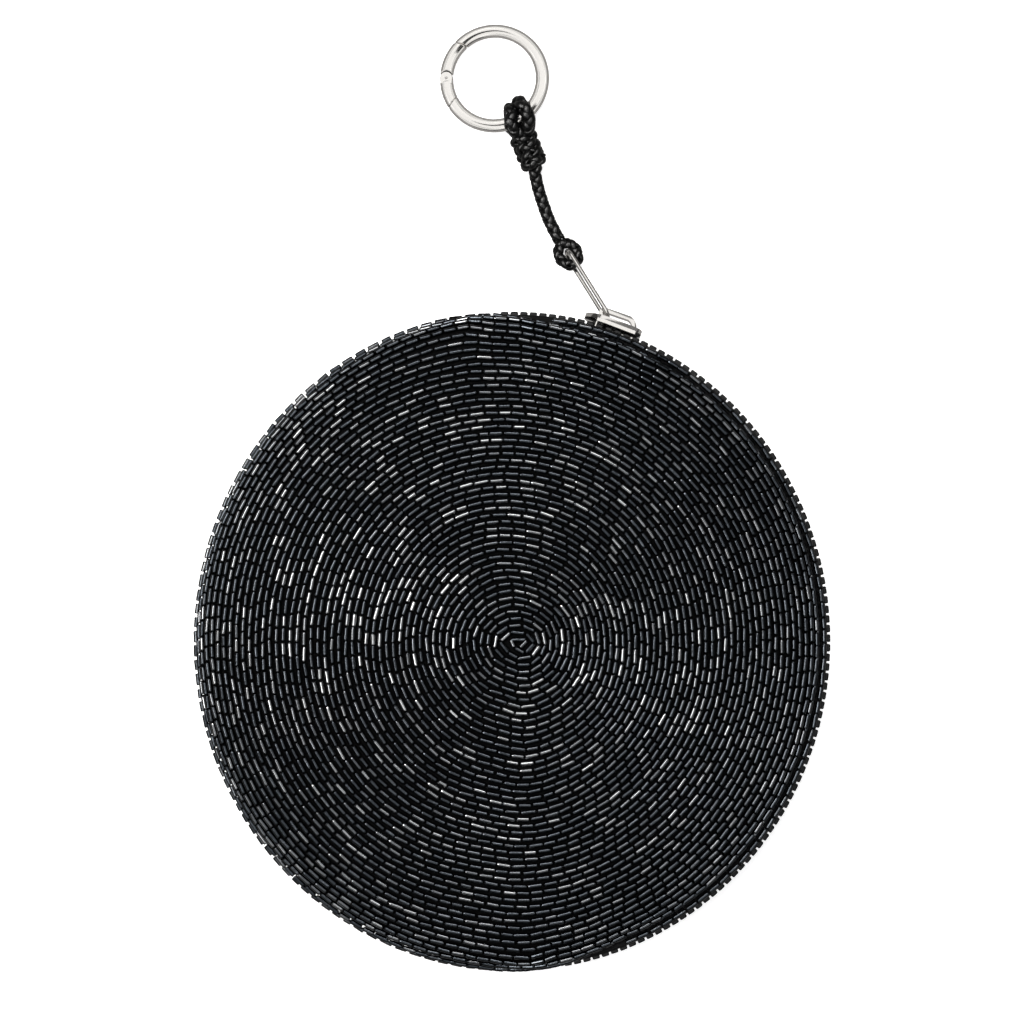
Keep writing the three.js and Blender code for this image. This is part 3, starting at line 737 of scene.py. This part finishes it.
def moulded_resin():
    material, wire = new_finish("moulded_resin")
    grain = wire.noise(wire.place(), 1500.0, 3.0)
    finish_with(wire, {
        "Base Color": grain.blend((0.0002, 0.0002, 0.00025, 1), (0.0009, 0.0009, 0.0011, 1)),
        "Roughness": 0.34 + grain * 0.16,
        "IOR": 1.3,
        "Normal": grain.bump(0.12, 0.0001),
    })
    return material


def one_tooth():
    shape = bmesh.new()
    bmesh.ops.create_cube(shape, size=1, matrix=Matrix.Diagonal((*TOOTH_SIZE, 1)))
    bmesh.ops.bevel(shape, geom=shape.edges[:], offset=TOOTH_EASE, segments=2, profile=0.5, affect="EDGES")
    for face in shape.faces:
        face.smooth = face.calc_area() < TOOTH_SIZE.x * TOOTH_SIZE.y / 4
    return put("one_tooth", mesh_from(shape, "one_tooth"))


def rim_normal(angle):
    inner = np.array(rim(angle, SMALL_INSET))
    outer = np.array(rim(angle))
    return Vector((*((outer - inner) / SMALL_INSET), 0))


def tooth_foot(length):
    return SEAM_HALF_GAP + ROW_PARTING * open_share(length)


def edge_cord(side):
    loops = []
    for length in np.arange(0, ZIP_LENGTH, TAPE_STEP):
        near = tooth_foot(length) + EDGE_CORD_CLEAR
        loop = []
        for turn in np.arange(EDGE_CORD_SIDES) * 2 * math.pi / EDGE_CORD_SIDES:
            inset = ROW_SHIFT[side] + (TOOTH_NOTCH + TOOTH_SIZE.y) / 2 - EDGE_CORD_HALF * math.cos(turn)
            reach = near + (TOOTH_SIZE.z - 2 * EDGE_CORD_CLEAR) / 2 * (1 + math.sin(turn))
            loop.append((*rim(angle_at(length), inset), RIM_Z + FACING[side] * reach))
        loops.append(loop)
    return face_out(add_piece(f"zip_edge_cord_{side}", *loft(loops), cloth_finish))


resin_finish = moulded_resin()
tooth_shape = one_tooth()
for side, first in TOOTH_FIRST.items():
    places = []
    eulers = []
    for length in np.arange(first + TOOTH_SIZE.x / 2, ZIP_LENGTH - TOOTH_SIZE.x / 2, TOOTH_PITCH):
        angle = angle_at(length)
        rise = FACING[side] * (tooth_foot(length) + TOOTH_SIZE.z / 2)
        places.append((*rim(angle, ROW_SHIFT[side] + TOOTH_SIZE.y / 2), RIM_Z + rise))
        eulers.append(turned_to(Vector((0, 0, FACING[side])), rim_normal(angle).cross(UP)))
    teeth = placed_copies(f"zip_teeth_{side}_blocks", places, eulers, np.ones((len(places), 3)), tooth_shape,
                          resin_finish, TOOTH_TILT, TOOTH_ROLL, TOOTH_SEED)
    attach(teeth, "purse")
    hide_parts(f"zip_teeth_{side}")
    core = edge_cord(side)
    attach(core, "purse")
bpy.data.objects.remove(tooth_shape)

# Zip slider: polished nickel, cast as one piece with its two plates, side walls and the bridge for the link.
# It leans outward a little under the pull of its link.
SLIDER_EASE = 0.00034
SLIDER_LEAN = math.radians(11.5)
SAME_PLACE = 1e-6
FLAT_ANGLE = math.radians(1)
EDGE_ANGLE = math.radians(35)
CREASE_ANGLE = math.radians(40)


def polished_nickel():
    material, wire = new_finish("polished_nickel")
    place = wire.place()
    smear = wire.noise(place, 260.0, 4.0)
    scuff = wire.noise(place, 1800.0, 2.0)
    finish_with(wire, {
        "Base Color": smear.blend((0.77, 0.755, 0.735, 1), (0.84, 0.825, 0.805, 1)),
        "Metallic": 0.97,
        "Roughness": 0.07 + smear * 0.07,
        "Normal": scuff.bump(0.03, 0.00005),
    })
    return material


def eased_copy(node, name, width, material):
    """A copy of a solid with its flat faces made whole and its sharp edges rounded."""
    shape = bmesh.new()
    shape.from_mesh(frame["nodes"][node].data)
    bmesh.ops.remove_doubles(shape, verts=shape.verts, dist=SAME_PLACE)
    bmesh.ops.dissolve_limit(shape, angle_limit=FLAT_ANGLE, verts=shape.verts, edges=shape.edges)
    sharp = [edge for edge in shape.edges if edge.calc_face_angle(0) > EDGE_ANGLE]
    bmesh.ops.bevel(shape, geom=sharp, offset=width, segments=3, profile=0.5, affect="EDGES",
                    clamp_overlap=True)
    data = mesh_from(shape, name)
    data.materials.clear()
    data.materials.append(material)
    data.polygons.foreach_set("use_smooth", [True] * len(data.polygons))
    data.set_sharp_from_angle(angle=CREASE_ANGLE)
    return put(name, data)


nickel_finish = polished_nickel()
slider = eased_copy("zip_slider", "slider_body", SLIDER_EASE, nickel_finish)
slider_middle = Matrix.Translation((*rim(SLIDER_AT), RIM_Z))
lean_axis = UP.cross(rim_normal(SLIDER_AT))
slider.data.transform(slider_middle @ Matrix.Rotation(SLIDER_LEAN, 4, lean_axis) @ slider_middle.inverted())
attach(slider, "purse")
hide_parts("zip_slider")

# Pull link: a long closed loop of nickel wire that stands on edge through the slider's bridge and the cord's
# eye.
LINK_NEAR = Vector((0.0217, 0.07358, 0.008))
LINK_FAR = Vector((0.0124, 0.0888, 0.00275))
LINK_WIRE = 0.00095
LINK_BEND = 0.001975
LINK_BEND_STEPS = 17
LINK_SIDES = 14
LINK_LEAN = math.radians(14)
link_along = (LINK_FAR - LINK_NEAR).normalized()
link_side = link_along.cross(UP).normalized()
link_up = Matrix.Rotation(LINK_LEAN, 3, link_along) @ link_side.cross(link_along)


def wire_ring(line, radius, sides):
    """A skin over loops round a closed line, with no twist between one and the next."""
    loops = []
    across = None
    for k, point in enumerate(line):
        along = (line[(k + 1) % len(line)] - line[k - 1]).normalized()
        across = along.orthogonal() if across is None else across - across.dot(along) * along
        across.normalize()
        other = along.cross(across)
        turns = [2 * math.pi * n / sides for n in range(sides)]
        loops.append([point + radius * (math.cos(t) * across + math.sin(t) * other) for t in turns])
    return loft(loops, True)


link_line = []
for end, outward, rise in ((LINK_FAR, link_along, link_up), (LINK_NEAR, -link_along, -link_up)):
    for turn in np.linspace(-math.pi / 2, math.pi / 2, LINK_BEND_STEPS):
        bend = math.cos(turn) * outward + math.sin(turn) * rise
        link_line.append(end - LINK_BEND * outward + LINK_BEND * bend)
link = face_out(add_piece("link_wire", *wire_ring(link_line, LINK_WIRE / 2, LINK_SIDES), nickel_finish))
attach(link, "purse")
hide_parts("pull_link")

# Cord: round braided black leather. An eye goes round the link, a plain run leads to a knot of four turns,
# and the cord goes on through the knot as two loops over the ring.
PLAIT_PITCH = 0.005
STRAND_MIDDLE = 0.0008
STRAND_WEAVE = 0.00018
STRAND_HALF_WIDTH = 0.00074
STRAND_HALF_WALL = 0.0004
STRAND_SIDES = 8
CORD_STEP = 0.0002
CURVE_STEPS = 40
EYE_LONG = 0.00275
EYE_WIDE = 0.0021
EYE_STEPS = 25
EYE_BACK = 0.00065
RUN_OFF_EYE = 0.0043
RUN_POINTS = (
    (0.0085, 0.0958, 0.0015),
    (0.00722, 0.0992, 0.0015),
    (0.0059, 0.1033, 0.0019),
    (0.0051, 0.10713, 0.00305),
)
KNOT_LOW = Vector((0.0052, 0.1083, 0.00345))
KNOT_HIGH = Vector((0.0019, 0.1163, 0.00345))
KNOT_TURNS = 4
KNOT_TURN_STEPS = 14
KNOT_RADIUS = 0.0019
KNOT_LEAN = 0.0005
KNOT_FROM = 0.06
KNOT_SHARE = 0.88
RING_RADIUS = 0.01097
RING_WIRE = 0.00305
LOOPS = {
    "left": {"angle": -69.5, "heading": 93, "end": (-0.0001, 0.1172), "top": 0.00715},
    "right": {"angle": -47.5, "heading": 125, "end": (0.0037, 0.1176), "top": 0.0067},
}
LOOP_RADIUS = 0.003
LOOP_LOW = 0.0016
LOOP_STEPS = 9
LOOP_ROOT = 0.25
LOOP_ROOT_RISE = 0.0009
LOOP_FULL = 1.3
RUN_FULL = 1.16
WRAP_FULL = 1.1
SWELL_AT = (0.016, 0.024)
gate_joint = frame["joints"][0]
hinge_at = Vector(gate_joint["pos_m"])
ring_turn = UP.rotation_difference(-Vector(gate_joint["axis"])).to_matrix()
ring_middle = hinge_at + ring_turn @ Vector((RING_RADIUS, 0, 0))


def braided_leather():
    material, wire = new_finish("braided_leather")
    place = wire.place()
    grain = wire.node("ShaderNodeTexVoronoi", None, {"Vector": place, "Scale": 3200.0})
    wear = wire.noise(place, 700.0, 3.0)
    finish_with(wire, {
        "Base Color": wear.blend((0.0003, 0.0003, 0.0003, 1), (0.0016, 0.0016, 0.0016, 1)),
        "Roughness": 0.24 + wear * 0.2,
        "IOR": 1.42,
        "Normal": (grain + wear * 0.6).bump(0.25, 0.0001),
    })
    return material


def smooth_line(points):
    """Evenly spaced points on a smooth curve through the given ones."""
    given = np.array(points, float)
    padded = np.vstack([2 * given[0] - given[1], given, 2 * given[-1] - given[-2]])
    pieces = []
    for a, b, c, d in zip(padded, padded[1:], padded[2:], padded[3:]):
        t = np.linspace(0, 1, CURVE_STEPS, endpoint=False)[:, None]
        straight = 2 * b + (c - a) * t
        bent = (2 * a - 5 * b + 4 * c - d) * t**2 + (3 * b - a - 3 * c + d) * t**3
        pieces.append((straight + bent) / 2)
    line = np.vstack([*pieces, given[-1:]])
    run = run_along(line)
    spots = np.linspace(0, run[-1], max(2, round(run[-1] / CORD_STEP)))
    return at_run(spots, run, line)


def line_length(line):
    return run_along(line)[-1]


def braid(line, full=1.0):
    """Four flat strands plaited round a line, two each way. full is the thickness over a plain cord's."""
    full = np.broadcast_to(full, len(line))
    along = np.gradient(line, axis=0)
    along /= np.linalg.norm(along, axis=1, keepdims=True)
    across = [np.array(Vector(along[0]).orthogonal().normalized())]
    for direction in along[1:]:
        side = across[-1] - across[-1].dot(direction) * direction
        across.append(side / np.linalg.norm(side))
    across = np.array(across)
    other = np.cross(along, across)
    run = np.linspace(0, line_length(line), len(line))
    spots = 2 * math.pi * np.arange(STRAND_SIDES) / STRAND_SIDES
    walls = np.cos(spots)[:, None] * STRAND_HALF_WALL
    widths = np.sin(spots)[:, None] * STRAND_HALF_WIDTH
    parts = []
    for way, first in ((1, 0), (1, 0.5), (-1, 0), (-1, 0.5)):
        turn = 2 * math.pi * (way * run / PLAIT_PITCH + first)
        out = np.cos(turn)[:, None] * across + np.sin(turn)[:, None] * other
        middle = STRAND_MIDDLE + way * STRAND_WEAVE * np.cos(4 * math.pi * run / PLAIT_PITCH)
        centres = line + (full * middle)[:, None] * out
        heading = np.gradient(centres, axis=0)
        flat = np.cross(heading, out)
        flat /= np.linalg.norm(flat, axis=1, keepdims=True)
        loops = []
        for centre, thick, wide, size in zip(centres, out, flat, full):
            loops.append(list(centre + size * (walls * thick + widths * wide)))
        parts.append(loft(loops))
    return joined(parts)


def ring_point(angle, out=0.0, rise=0.0):
    turn = math.radians(angle)
    reach = RING_RADIUS + out
    return ring_middle + ring_turn @ polar(turn, reach, rise)


def loop_points(side):
    """Up out of the knot, round the inner side of the ring's wire and back under it into the knot."""
    row = LOOPS[side]
    wire = ring_point(row["angle"])
    heading = math.radians(row["heading"])
    inward = polar(heading, 1, 0)
    core = KNOT_HIGH.lerp(KNOT_LOW, LOOP_ROOT)
    points = [(core.x, core.y, KNOT_HIGH.z + LOOP_ROOT_RISE), (*row["end"], row["top"])]
    for turn in np.radians(np.linspace(90, -90, LOOP_STEPS)):
        spot = wire + LOOP_RADIUS * (math.cos(turn) * inward + math.sin(turn) * UP)
        spot.z = max(spot.z, LOOP_LOW)
        points.append(tuple(spot))
    return [*points, (*row["end"], LOOP_LOW), (core.x, core.y, KNOT_HIGH.z - LOOP_ROOT_RISE)]


def braided(name, line, full=1.0):
    return face_out(add_piece(name, *braid(line, full), leather_finish))


leather_finish = braided_leather()
eye_middle = LINK_FAR - EYE_BACK * link_along
eye_points = []
for turn in np.linspace(0, 2 * math.pi, EYE_STEPS):
    spot = eye_middle + EYE_LONG * math.cos(turn) * link_along
    eye_points.append(spot + EYE_WIDE * math.sin(turn) * link_side)
eye = braided("cord_eye_braid", smooth_line(eye_points))
run_start = eye_middle + RUN_OFF_EYE * link_along
main_line = smooth_line([tuple(run_start), *RUN_POINTS, tuple(KNOT_LOW), *loop_points("right")])
main_run = np.linspace(0, line_length(main_line), len(main_line))
swell = RUN_FULL + (LOOP_FULL - RUN_FULL) * ease(main_run, *SWELL_AT)
cord = braided("cord_braid", main_line, swell)
left_loop = braided("cord_loop_left_braid", smooth_line(loop_points("left")), LOOP_FULL)
knot_along = (KNOT_HIGH - KNOT_LOW).normalized()
knot_side = knot_along.cross(UP).normalized()
wrap_points = []
for part in np.linspace(0, 1, KNOT_TURNS * KNOT_TURN_STEPS + 1):
    turn = 2 * math.pi * KNOT_TURNS * part
    lean = KNOT_LEAN * math.cos(turn)
    spot = KNOT_LOW.lerp(KNOT_HIGH, KNOT_FROM + KNOT_SHARE * part) + lean * knot_along
    wrap_points.append(spot + KNOT_RADIUS * (math.cos(turn) * knot_side + math.sin(turn) * UP))
wraps = braided("cord_wraps_braid", smooth_line(wrap_points), WRAP_FULL)
for piece, nodes in ((cord, ("cord_run", "cord_loop_right")), (eye, ("cord_eye",)), (wraps, ("wrap_knot",)),
                     (left_loop, ("cord_loop_left",))):
    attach(piece, "purse")
    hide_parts(*nodes)

# Ring: a polished nickel spring gate ring. The body is a round wire from the gate's nose to the hinge block,
# whose two ears hold the gate's tongue on a pin.
GATE_NOSE = 134
NOSE_GAP = 0.00007
SEAM_OUTSIDE = {"reach": 0.0122, "angle": 212.4}
SEAM_INSIDE = {"reach": 0.0096, "angle": 207.2}
SEAM_HALF_ANGLE = 0.1
SHOULDER_LOW = 0.00065
SHOULDER_SLOPE = 0.0833
ARCH_RADIUS = 0.00175
EAR_RADIUS = 0.00145
EAR_NECK = -0.0014
EAR_Z = (0.00065, 0.00128)
TONGUE_RADIUS = 0.00125
TONGUE_NECK = 0.0024
TONGUE_HALF = 0.00045
NECK_SHARE = 0.9
ROUND_END_STEPS = 17
PIN_RADIUS = 0.0004
PIN_SWEEP = 6.0
PIN_STEPS = 16
RING_SIDES = 32
RING_STEPS = {"body": 160, "block": 24, "gate": 32}
END_EASE = 0.0002
PLATE_EASE = 0.93
nose_reach = (ring_point(GATE_NOSE) - hinge_at).length


def dark_steel():
    material, wire = new_finish("dark_steel")
    wear = wire.noise(wire.place(), 1200.0, 3.0)
    finish_with(wire, {
        "Base Color": wear.blend((0.012, 0.012, 0.012, 1), (0.04, 0.039, 0.038, 1)),
        "Metallic": 1.0,
        "Roughness": 0.4 + wear * 0.2,
    })
    return material


def drum_angle(reach, radius):
    """Where a circle round the ring's middle meets a drum round the hinge, above it."""
    return math.degrees(math.acos((radius**2 - reach**2 - RING_RADIUS**2) / (2 * reach * RING_RADIUS)))


def seam_angle(reach):
    share = (reach - SEAM_INSIDE["reach"]) / (SEAM_OUTSIDE["reach"] - SEAM_INSIDE["reach"])
    return SEAM_INSIDE["angle"] + share * (SEAM_OUTSIDE["angle"] - SEAM_INSIDE["angle"])


def shoulder_angle(reach):
    return 180 + math.degrees(math.asin((SHOULDER_LOW - SHOULDER_SLOPE * (RING_RADIUS - reach)) / reach))


def ring_arc(start, end, steps):
    """A stretch of the ring's wire between two cuts, whose angles depend on the reach. Its ends are eased."""
    loops = []
    ease_angle = math.degrees(END_EASE / RING_RADIUS)
    rows = [(0, 0, 1 - END_EASE / RING_WIRE * 2), (0, 1, 1)]
    rows += [(part, 1 - 2 * part, 1) for part in np.linspace(0, 1, steps)[1:-1]]
    rows += [(1, -1, 1), (1, 0, 1 - END_EASE / RING_WIRE * 2)]
    for part, inward, size in rows:
        loop = []
        for turn in 2 * math.pi * np.arange(RING_SIDES) / RING_SIDES:
            reach = RING_RADIUS + RING_WIRE / 2 * math.cos(turn)
            first = start(reach)
            last = end(reach)
            way = 1 if last > first else -1
            angle = first + (last - first) * part + way * ease_angle * inward
            radius = RING_WIRE / 2 * size
            loop.append(ring_point(angle, radius * math.cos(turn), radius * math.sin(turn)))
        loops.append(loop)
    return loft(loops)


def hinge_plate(outline, low, high):
    """A plate by the hinge with eased edges. The outline is in the ring's plane, round the hinge."""
    middle = np.mean(outline, axis=0)
    loops = []
    for rise, size in ((low, PLATE_EASE), (low + END_EASE, 1), (high - END_EASE, 1), (high, PLATE_EASE)):
        flat = middle + (np.array(outline) - middle) * size
        loops.append([hinge_at + ring_turn @ Vector((x, y, rise)) for x, y in flat])
    return loft(loops)


def round_end(radius, neck, way):
    """Outline of a round end about the hinge, with a neck that goes up or down."""
    turns = np.radians(np.linspace(0, 180, ROUND_END_STEPS)) * -way
    outline = [(radius * math.cos(t), radius * math.sin(t)) for t in turns]
    return [*outline, (-radius * NECK_SHARE, neck), (radius * NECK_SHARE, neck)]


body = ring_arc(
    lambda reach: drum_angle(reach, nose_reach + NOSE_GAP),
    lambda reach: seam_angle(reach) - 360 + SEAM_HALF_ANGLE,
    RING_STEPS["body"],
)
ring_piece = face_out(add_piece("ring_wire", *body, nickel_finish))
block = ring_arc(lambda reach: seam_angle(reach) - SEAM_HALF_ANGLE, shoulder_angle, RING_STEPS["block"])
ear_outline = round_end(EAR_RADIUS, EAR_NECK, -1)
ears = [hinge_plate(ear_outline, *heights) for heights in (EAR_Z, (-EAR_Z[1], -EAR_Z[0]))]
pin_turns = np.linspace(0, PIN_SWEEP, PIN_STEPS)
pin_outline = [(PIN_RADIUS * math.cos(t), PIN_RADIUS * math.sin(t)) for t in pin_turns]
pin = hinge_plate(pin_outline, -EAR_Z[1], EAR_Z[1])
block_piece = face_out(add_piece("ring_hinge", *joined([block, *ears, pin]), nickel_finish))
gate = ring_arc(
    lambda reach: drum_angle(reach, ARCH_RADIUS),
    lambda reach: drum_angle(reach, nose_reach - NOSE_GAP),
    RING_STEPS["gate"],
)
tongue = hinge_plate(round_end(TONGUE_RADIUS, TONGUE_NECK, 1), -TONGUE_HALF, TONGUE_HALF)
gate_piece = face_out(add_piece("ring_gate_wire", *gate, nickel_finish))
tongue_piece = face_out(add_piece("ring_gate_tongue", *tongue, dark_steel()))
for piece, node, body_name in ((ring_piece, "ring_body", "purse"), (block_piece, "ring_hinge_block", "purse"),
                               (gate_piece, "ring_gate", "gate"), (tongue_piece, "ring_gate", "gate")):
    piece.data.set_sharp_from_angle(angle=CREASE_ANGLE)
    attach(piece, body_name)
    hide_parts(node)

# Floor: a plain white table top, lit so brightly that it loses its shadows. Polished parts mirror it as grey.
FLOOR_HALF = 2.0
FLOOR_GLOW = 0.6
FLOOR_MIRRORED = 0.33
floor_finish, floor_wire = new_finish("white_table")
table_top = floor_wire.node("ShaderNodeBsdfPrincipled", None, {
    "Base Color": (0.9, 0.9, 0.9, 1), "Roughness": 0.9,
    "Emission Color": (1, 1, 1, 1), "Emission Strength": FLOOR_GLOW,
})
mirrored = floor_wire.node("ShaderNodeEmission", None, {
    "Color": (1, 0.98, 0.95, 1), "Strength": FLOOR_MIRRORED,
})
in_mirror = floor_wire.node("ShaderNodeLightPath", output="Is Glossy Ray")
table = floor_wire.node("ShaderNodeMixShader", None, {"Fac": in_mirror, 1: table_top, 2: mirrored})
floor_wire.node("ShaderNodeOutputMaterial", None, {"Surface": table})
corners = [(x * FLOOR_HALF, y * FLOOR_HALF, 0) for x, y in ((-1, -1), (1, -1), (1, 1), (-1, 1))]
floor = add_piece("floor", corners, [(0, 1, 2, 3)], floor_finish)

# Studio light: for the beads and the cord, a soft panel overhead and a ring of strip lights, brightest on the
# left. The nickel has a soft tent of its own, with a slot in its ceiling that draws a dark line along the
# ring.
LIGHT_AIM = Vector((0, 0.02, 0))
OVERHEAD = {"up": 1.7, "size": 2.4, "radiance": 0.68, "colour": (0.92, 0.96, 1.0)}
STRIPS = 16
STRIP_AWAY = 0.59
STRIP_UP = 1.16
STRIP_SIZE = (0.24, 0.32)
STRIP_LOBES = (
    {"angle": 168, "radiance": 25, "width": 30},
    {"angle": 92, "radiance": 15, "width": 28},
)
STRIP_LEAST = 1.7
STRIP_COLOUR = (1, 0.98, 0.96)
WARM_WHITE = (1, 0.988, 0.97)
TENT_AIM = Vector((0, 0.12, 0))
TENT_UP = 1.6
TENT_TURN = -31
SLOT_HALF = 0.27
SLOT_END = -0.38
CEILING = (
    {"name": "ring_high", "over": "ring", "x": (-2.05, 2.05), "y": (SLOT_HALF, 2.05), "radiance": 1.1},
    {"name": "ring_low", "over": "ring", "x": (-2.05, 2.05), "y": (-2.05, -SLOT_HALF), "radiance": 1.04},
    {"name": "ring_end", "over": "ring", "x": (-2.05, SLOT_END), "y": (-SLOT_HALF, SLOT_HALF),
     "radiance": 1.08},
    {"name": "pull_near", "over": "pull", "x": (-1.7, 1.1), "y": (-1.1, 1.6), "radiance": 0.9},
    {"name": "pull_far", "over": "pull", "x": (-5, 5), "y": (-5, 5), "radiance": 0.14, "up": 1.9},
)
WALLS = 8
WALL_AWAY = 0.6
WALL_WIDTH = 0.5
WALL_EDGES = (4, 36)
WALL_RADIANCE = 0.85
WORLD_COLOUR = (1.0, 0.98, 0.95, 1)
WORLD_STRENGTH = 0.04


def light_group(name, pieces, state):
    group = bpy.data.collections.new(name)
    for piece in pieces:
        group.objects.link(piece)
    for row in group.collection_objects:
        row.light_linking.link_state = state
    return group


def soft_light(name, place, size, radiance, colour, group, facing=None):
    """A rectangle of light on one group of pieces. It faces where it is told, or else the light's aim."""
    light = bpy.data.lights.new(name, "AREA")
    light.shape = "RECTANGLE"
    light.size = size[0]
    light.size_y = size[1]
    light.energy = radiance * math.pi * size[0] * size[1]
    light.color = colour
    lamp = put(name, light)
    lamp.location = place
    aimed = (LIGHT_AIM - Vector(place)).to_track_quat("-Z", "Y").to_euler()
    lamp.rotation_euler = aimed if facing is None else facing
    lamp.light_linking.receiver_collection = group


ring_nickel = (ring_piece, block_piece, gate_piece)
pull_nickel = (slider, link)
not_nickel = light_group("not_nickel", (*ring_nickel, *pull_nickel), "EXCLUDE")
nickel = {
    "ring": light_group("ring", ring_nickel, "INCLUDE"),
    "pull": light_group("pull", pull_nickel, "INCLUDE"),
}
soft_light("overhead", (*LIGHT_AIM.xy, OVERHEAD["up"]), (OVERHEAD["size"],) * 2, OVERHEAD["radiance"],
           OVERHEAD["colour"], not_nickel)
for k in range(STRIPS):
    angle = 360 * k / STRIPS
    radiance = STRIP_LEAST
    for lobe in STRIP_LOBES:
        radiance += lobe["radiance"] * math.exp(-((turned(angle - lobe["angle"]) / lobe["width"]) ** 2))
    turn = math.radians(angle)
    place = LIGHT_AIM + polar(turn, STRIP_AWAY, STRIP_UP)
    soft_light(f"strip_{k}", place, STRIP_SIZE, radiance, STRIP_COLOUR, not_nickel)
tent_facing = Matrix.Rotation(math.radians(TENT_TURN), 3, "Z")
for row in CEILING:
    size = (row["x"][1] - row["x"][0], row["y"][1] - row["y"][0])
    middle = Vector((sum(row["x"]) / 2, sum(row["y"]) / 2, row.get("up", TENT_UP)))
    soft_light(f"ceiling_{row['name']}", TENT_AIM + tent_facing @ middle, size, row["radiance"], WARM_WHITE,
               nickel[row["over"]], tent_facing.to_euler())
for k in range(WALLS):
    turn = 2 * math.pi * k / WALLS
    low, high = (WALL_AWAY * math.tan(math.radians(edge)) for edge in WALL_EDGES)
    place = TENT_AIM + polar(turn, WALL_AWAY, (low + high) / 2)
    facing = polar(turn, -1, 0).to_track_quat("-Z", "Y").to_euler()
    size = (WALL_WIDTH, high - low)
    soft_light(f"tent_wall_{k}", place, size, WALL_RADIANCE, WARM_WHITE, nickel["ring"], facing)
world = bpy.data.worlds.new("studio")
world.use_nodes = True
background = world.node_tree.nodes["Background"].inputs
background["Color"].default_value = WORLD_COLOUR
background["Strength"].default_value = WORLD_STRENGTH
bpy.context.scene.world = world
bpy.context.scene.view_settings.view_transform = "Standard"

# Camera: straight above, so far off that the view is almost flat.
FRAME_WIDTH = 0.23296
CAMERA_ABOVE = 1.2
CAMERA_AT = Vector((-0.0001, 0.02935, RIM_Z + CAMERA_ABOVE))
camera_data = bpy.data.cameras.new("camera")
camera_data.lens = camera_data.sensor_width * (CAMERA_AT.z - RIM_Z) / FRAME_WIDTH
camera = put("camera", camera_data)
camera.location = CAMERA_AT
bpy.context.scene.camera = camera
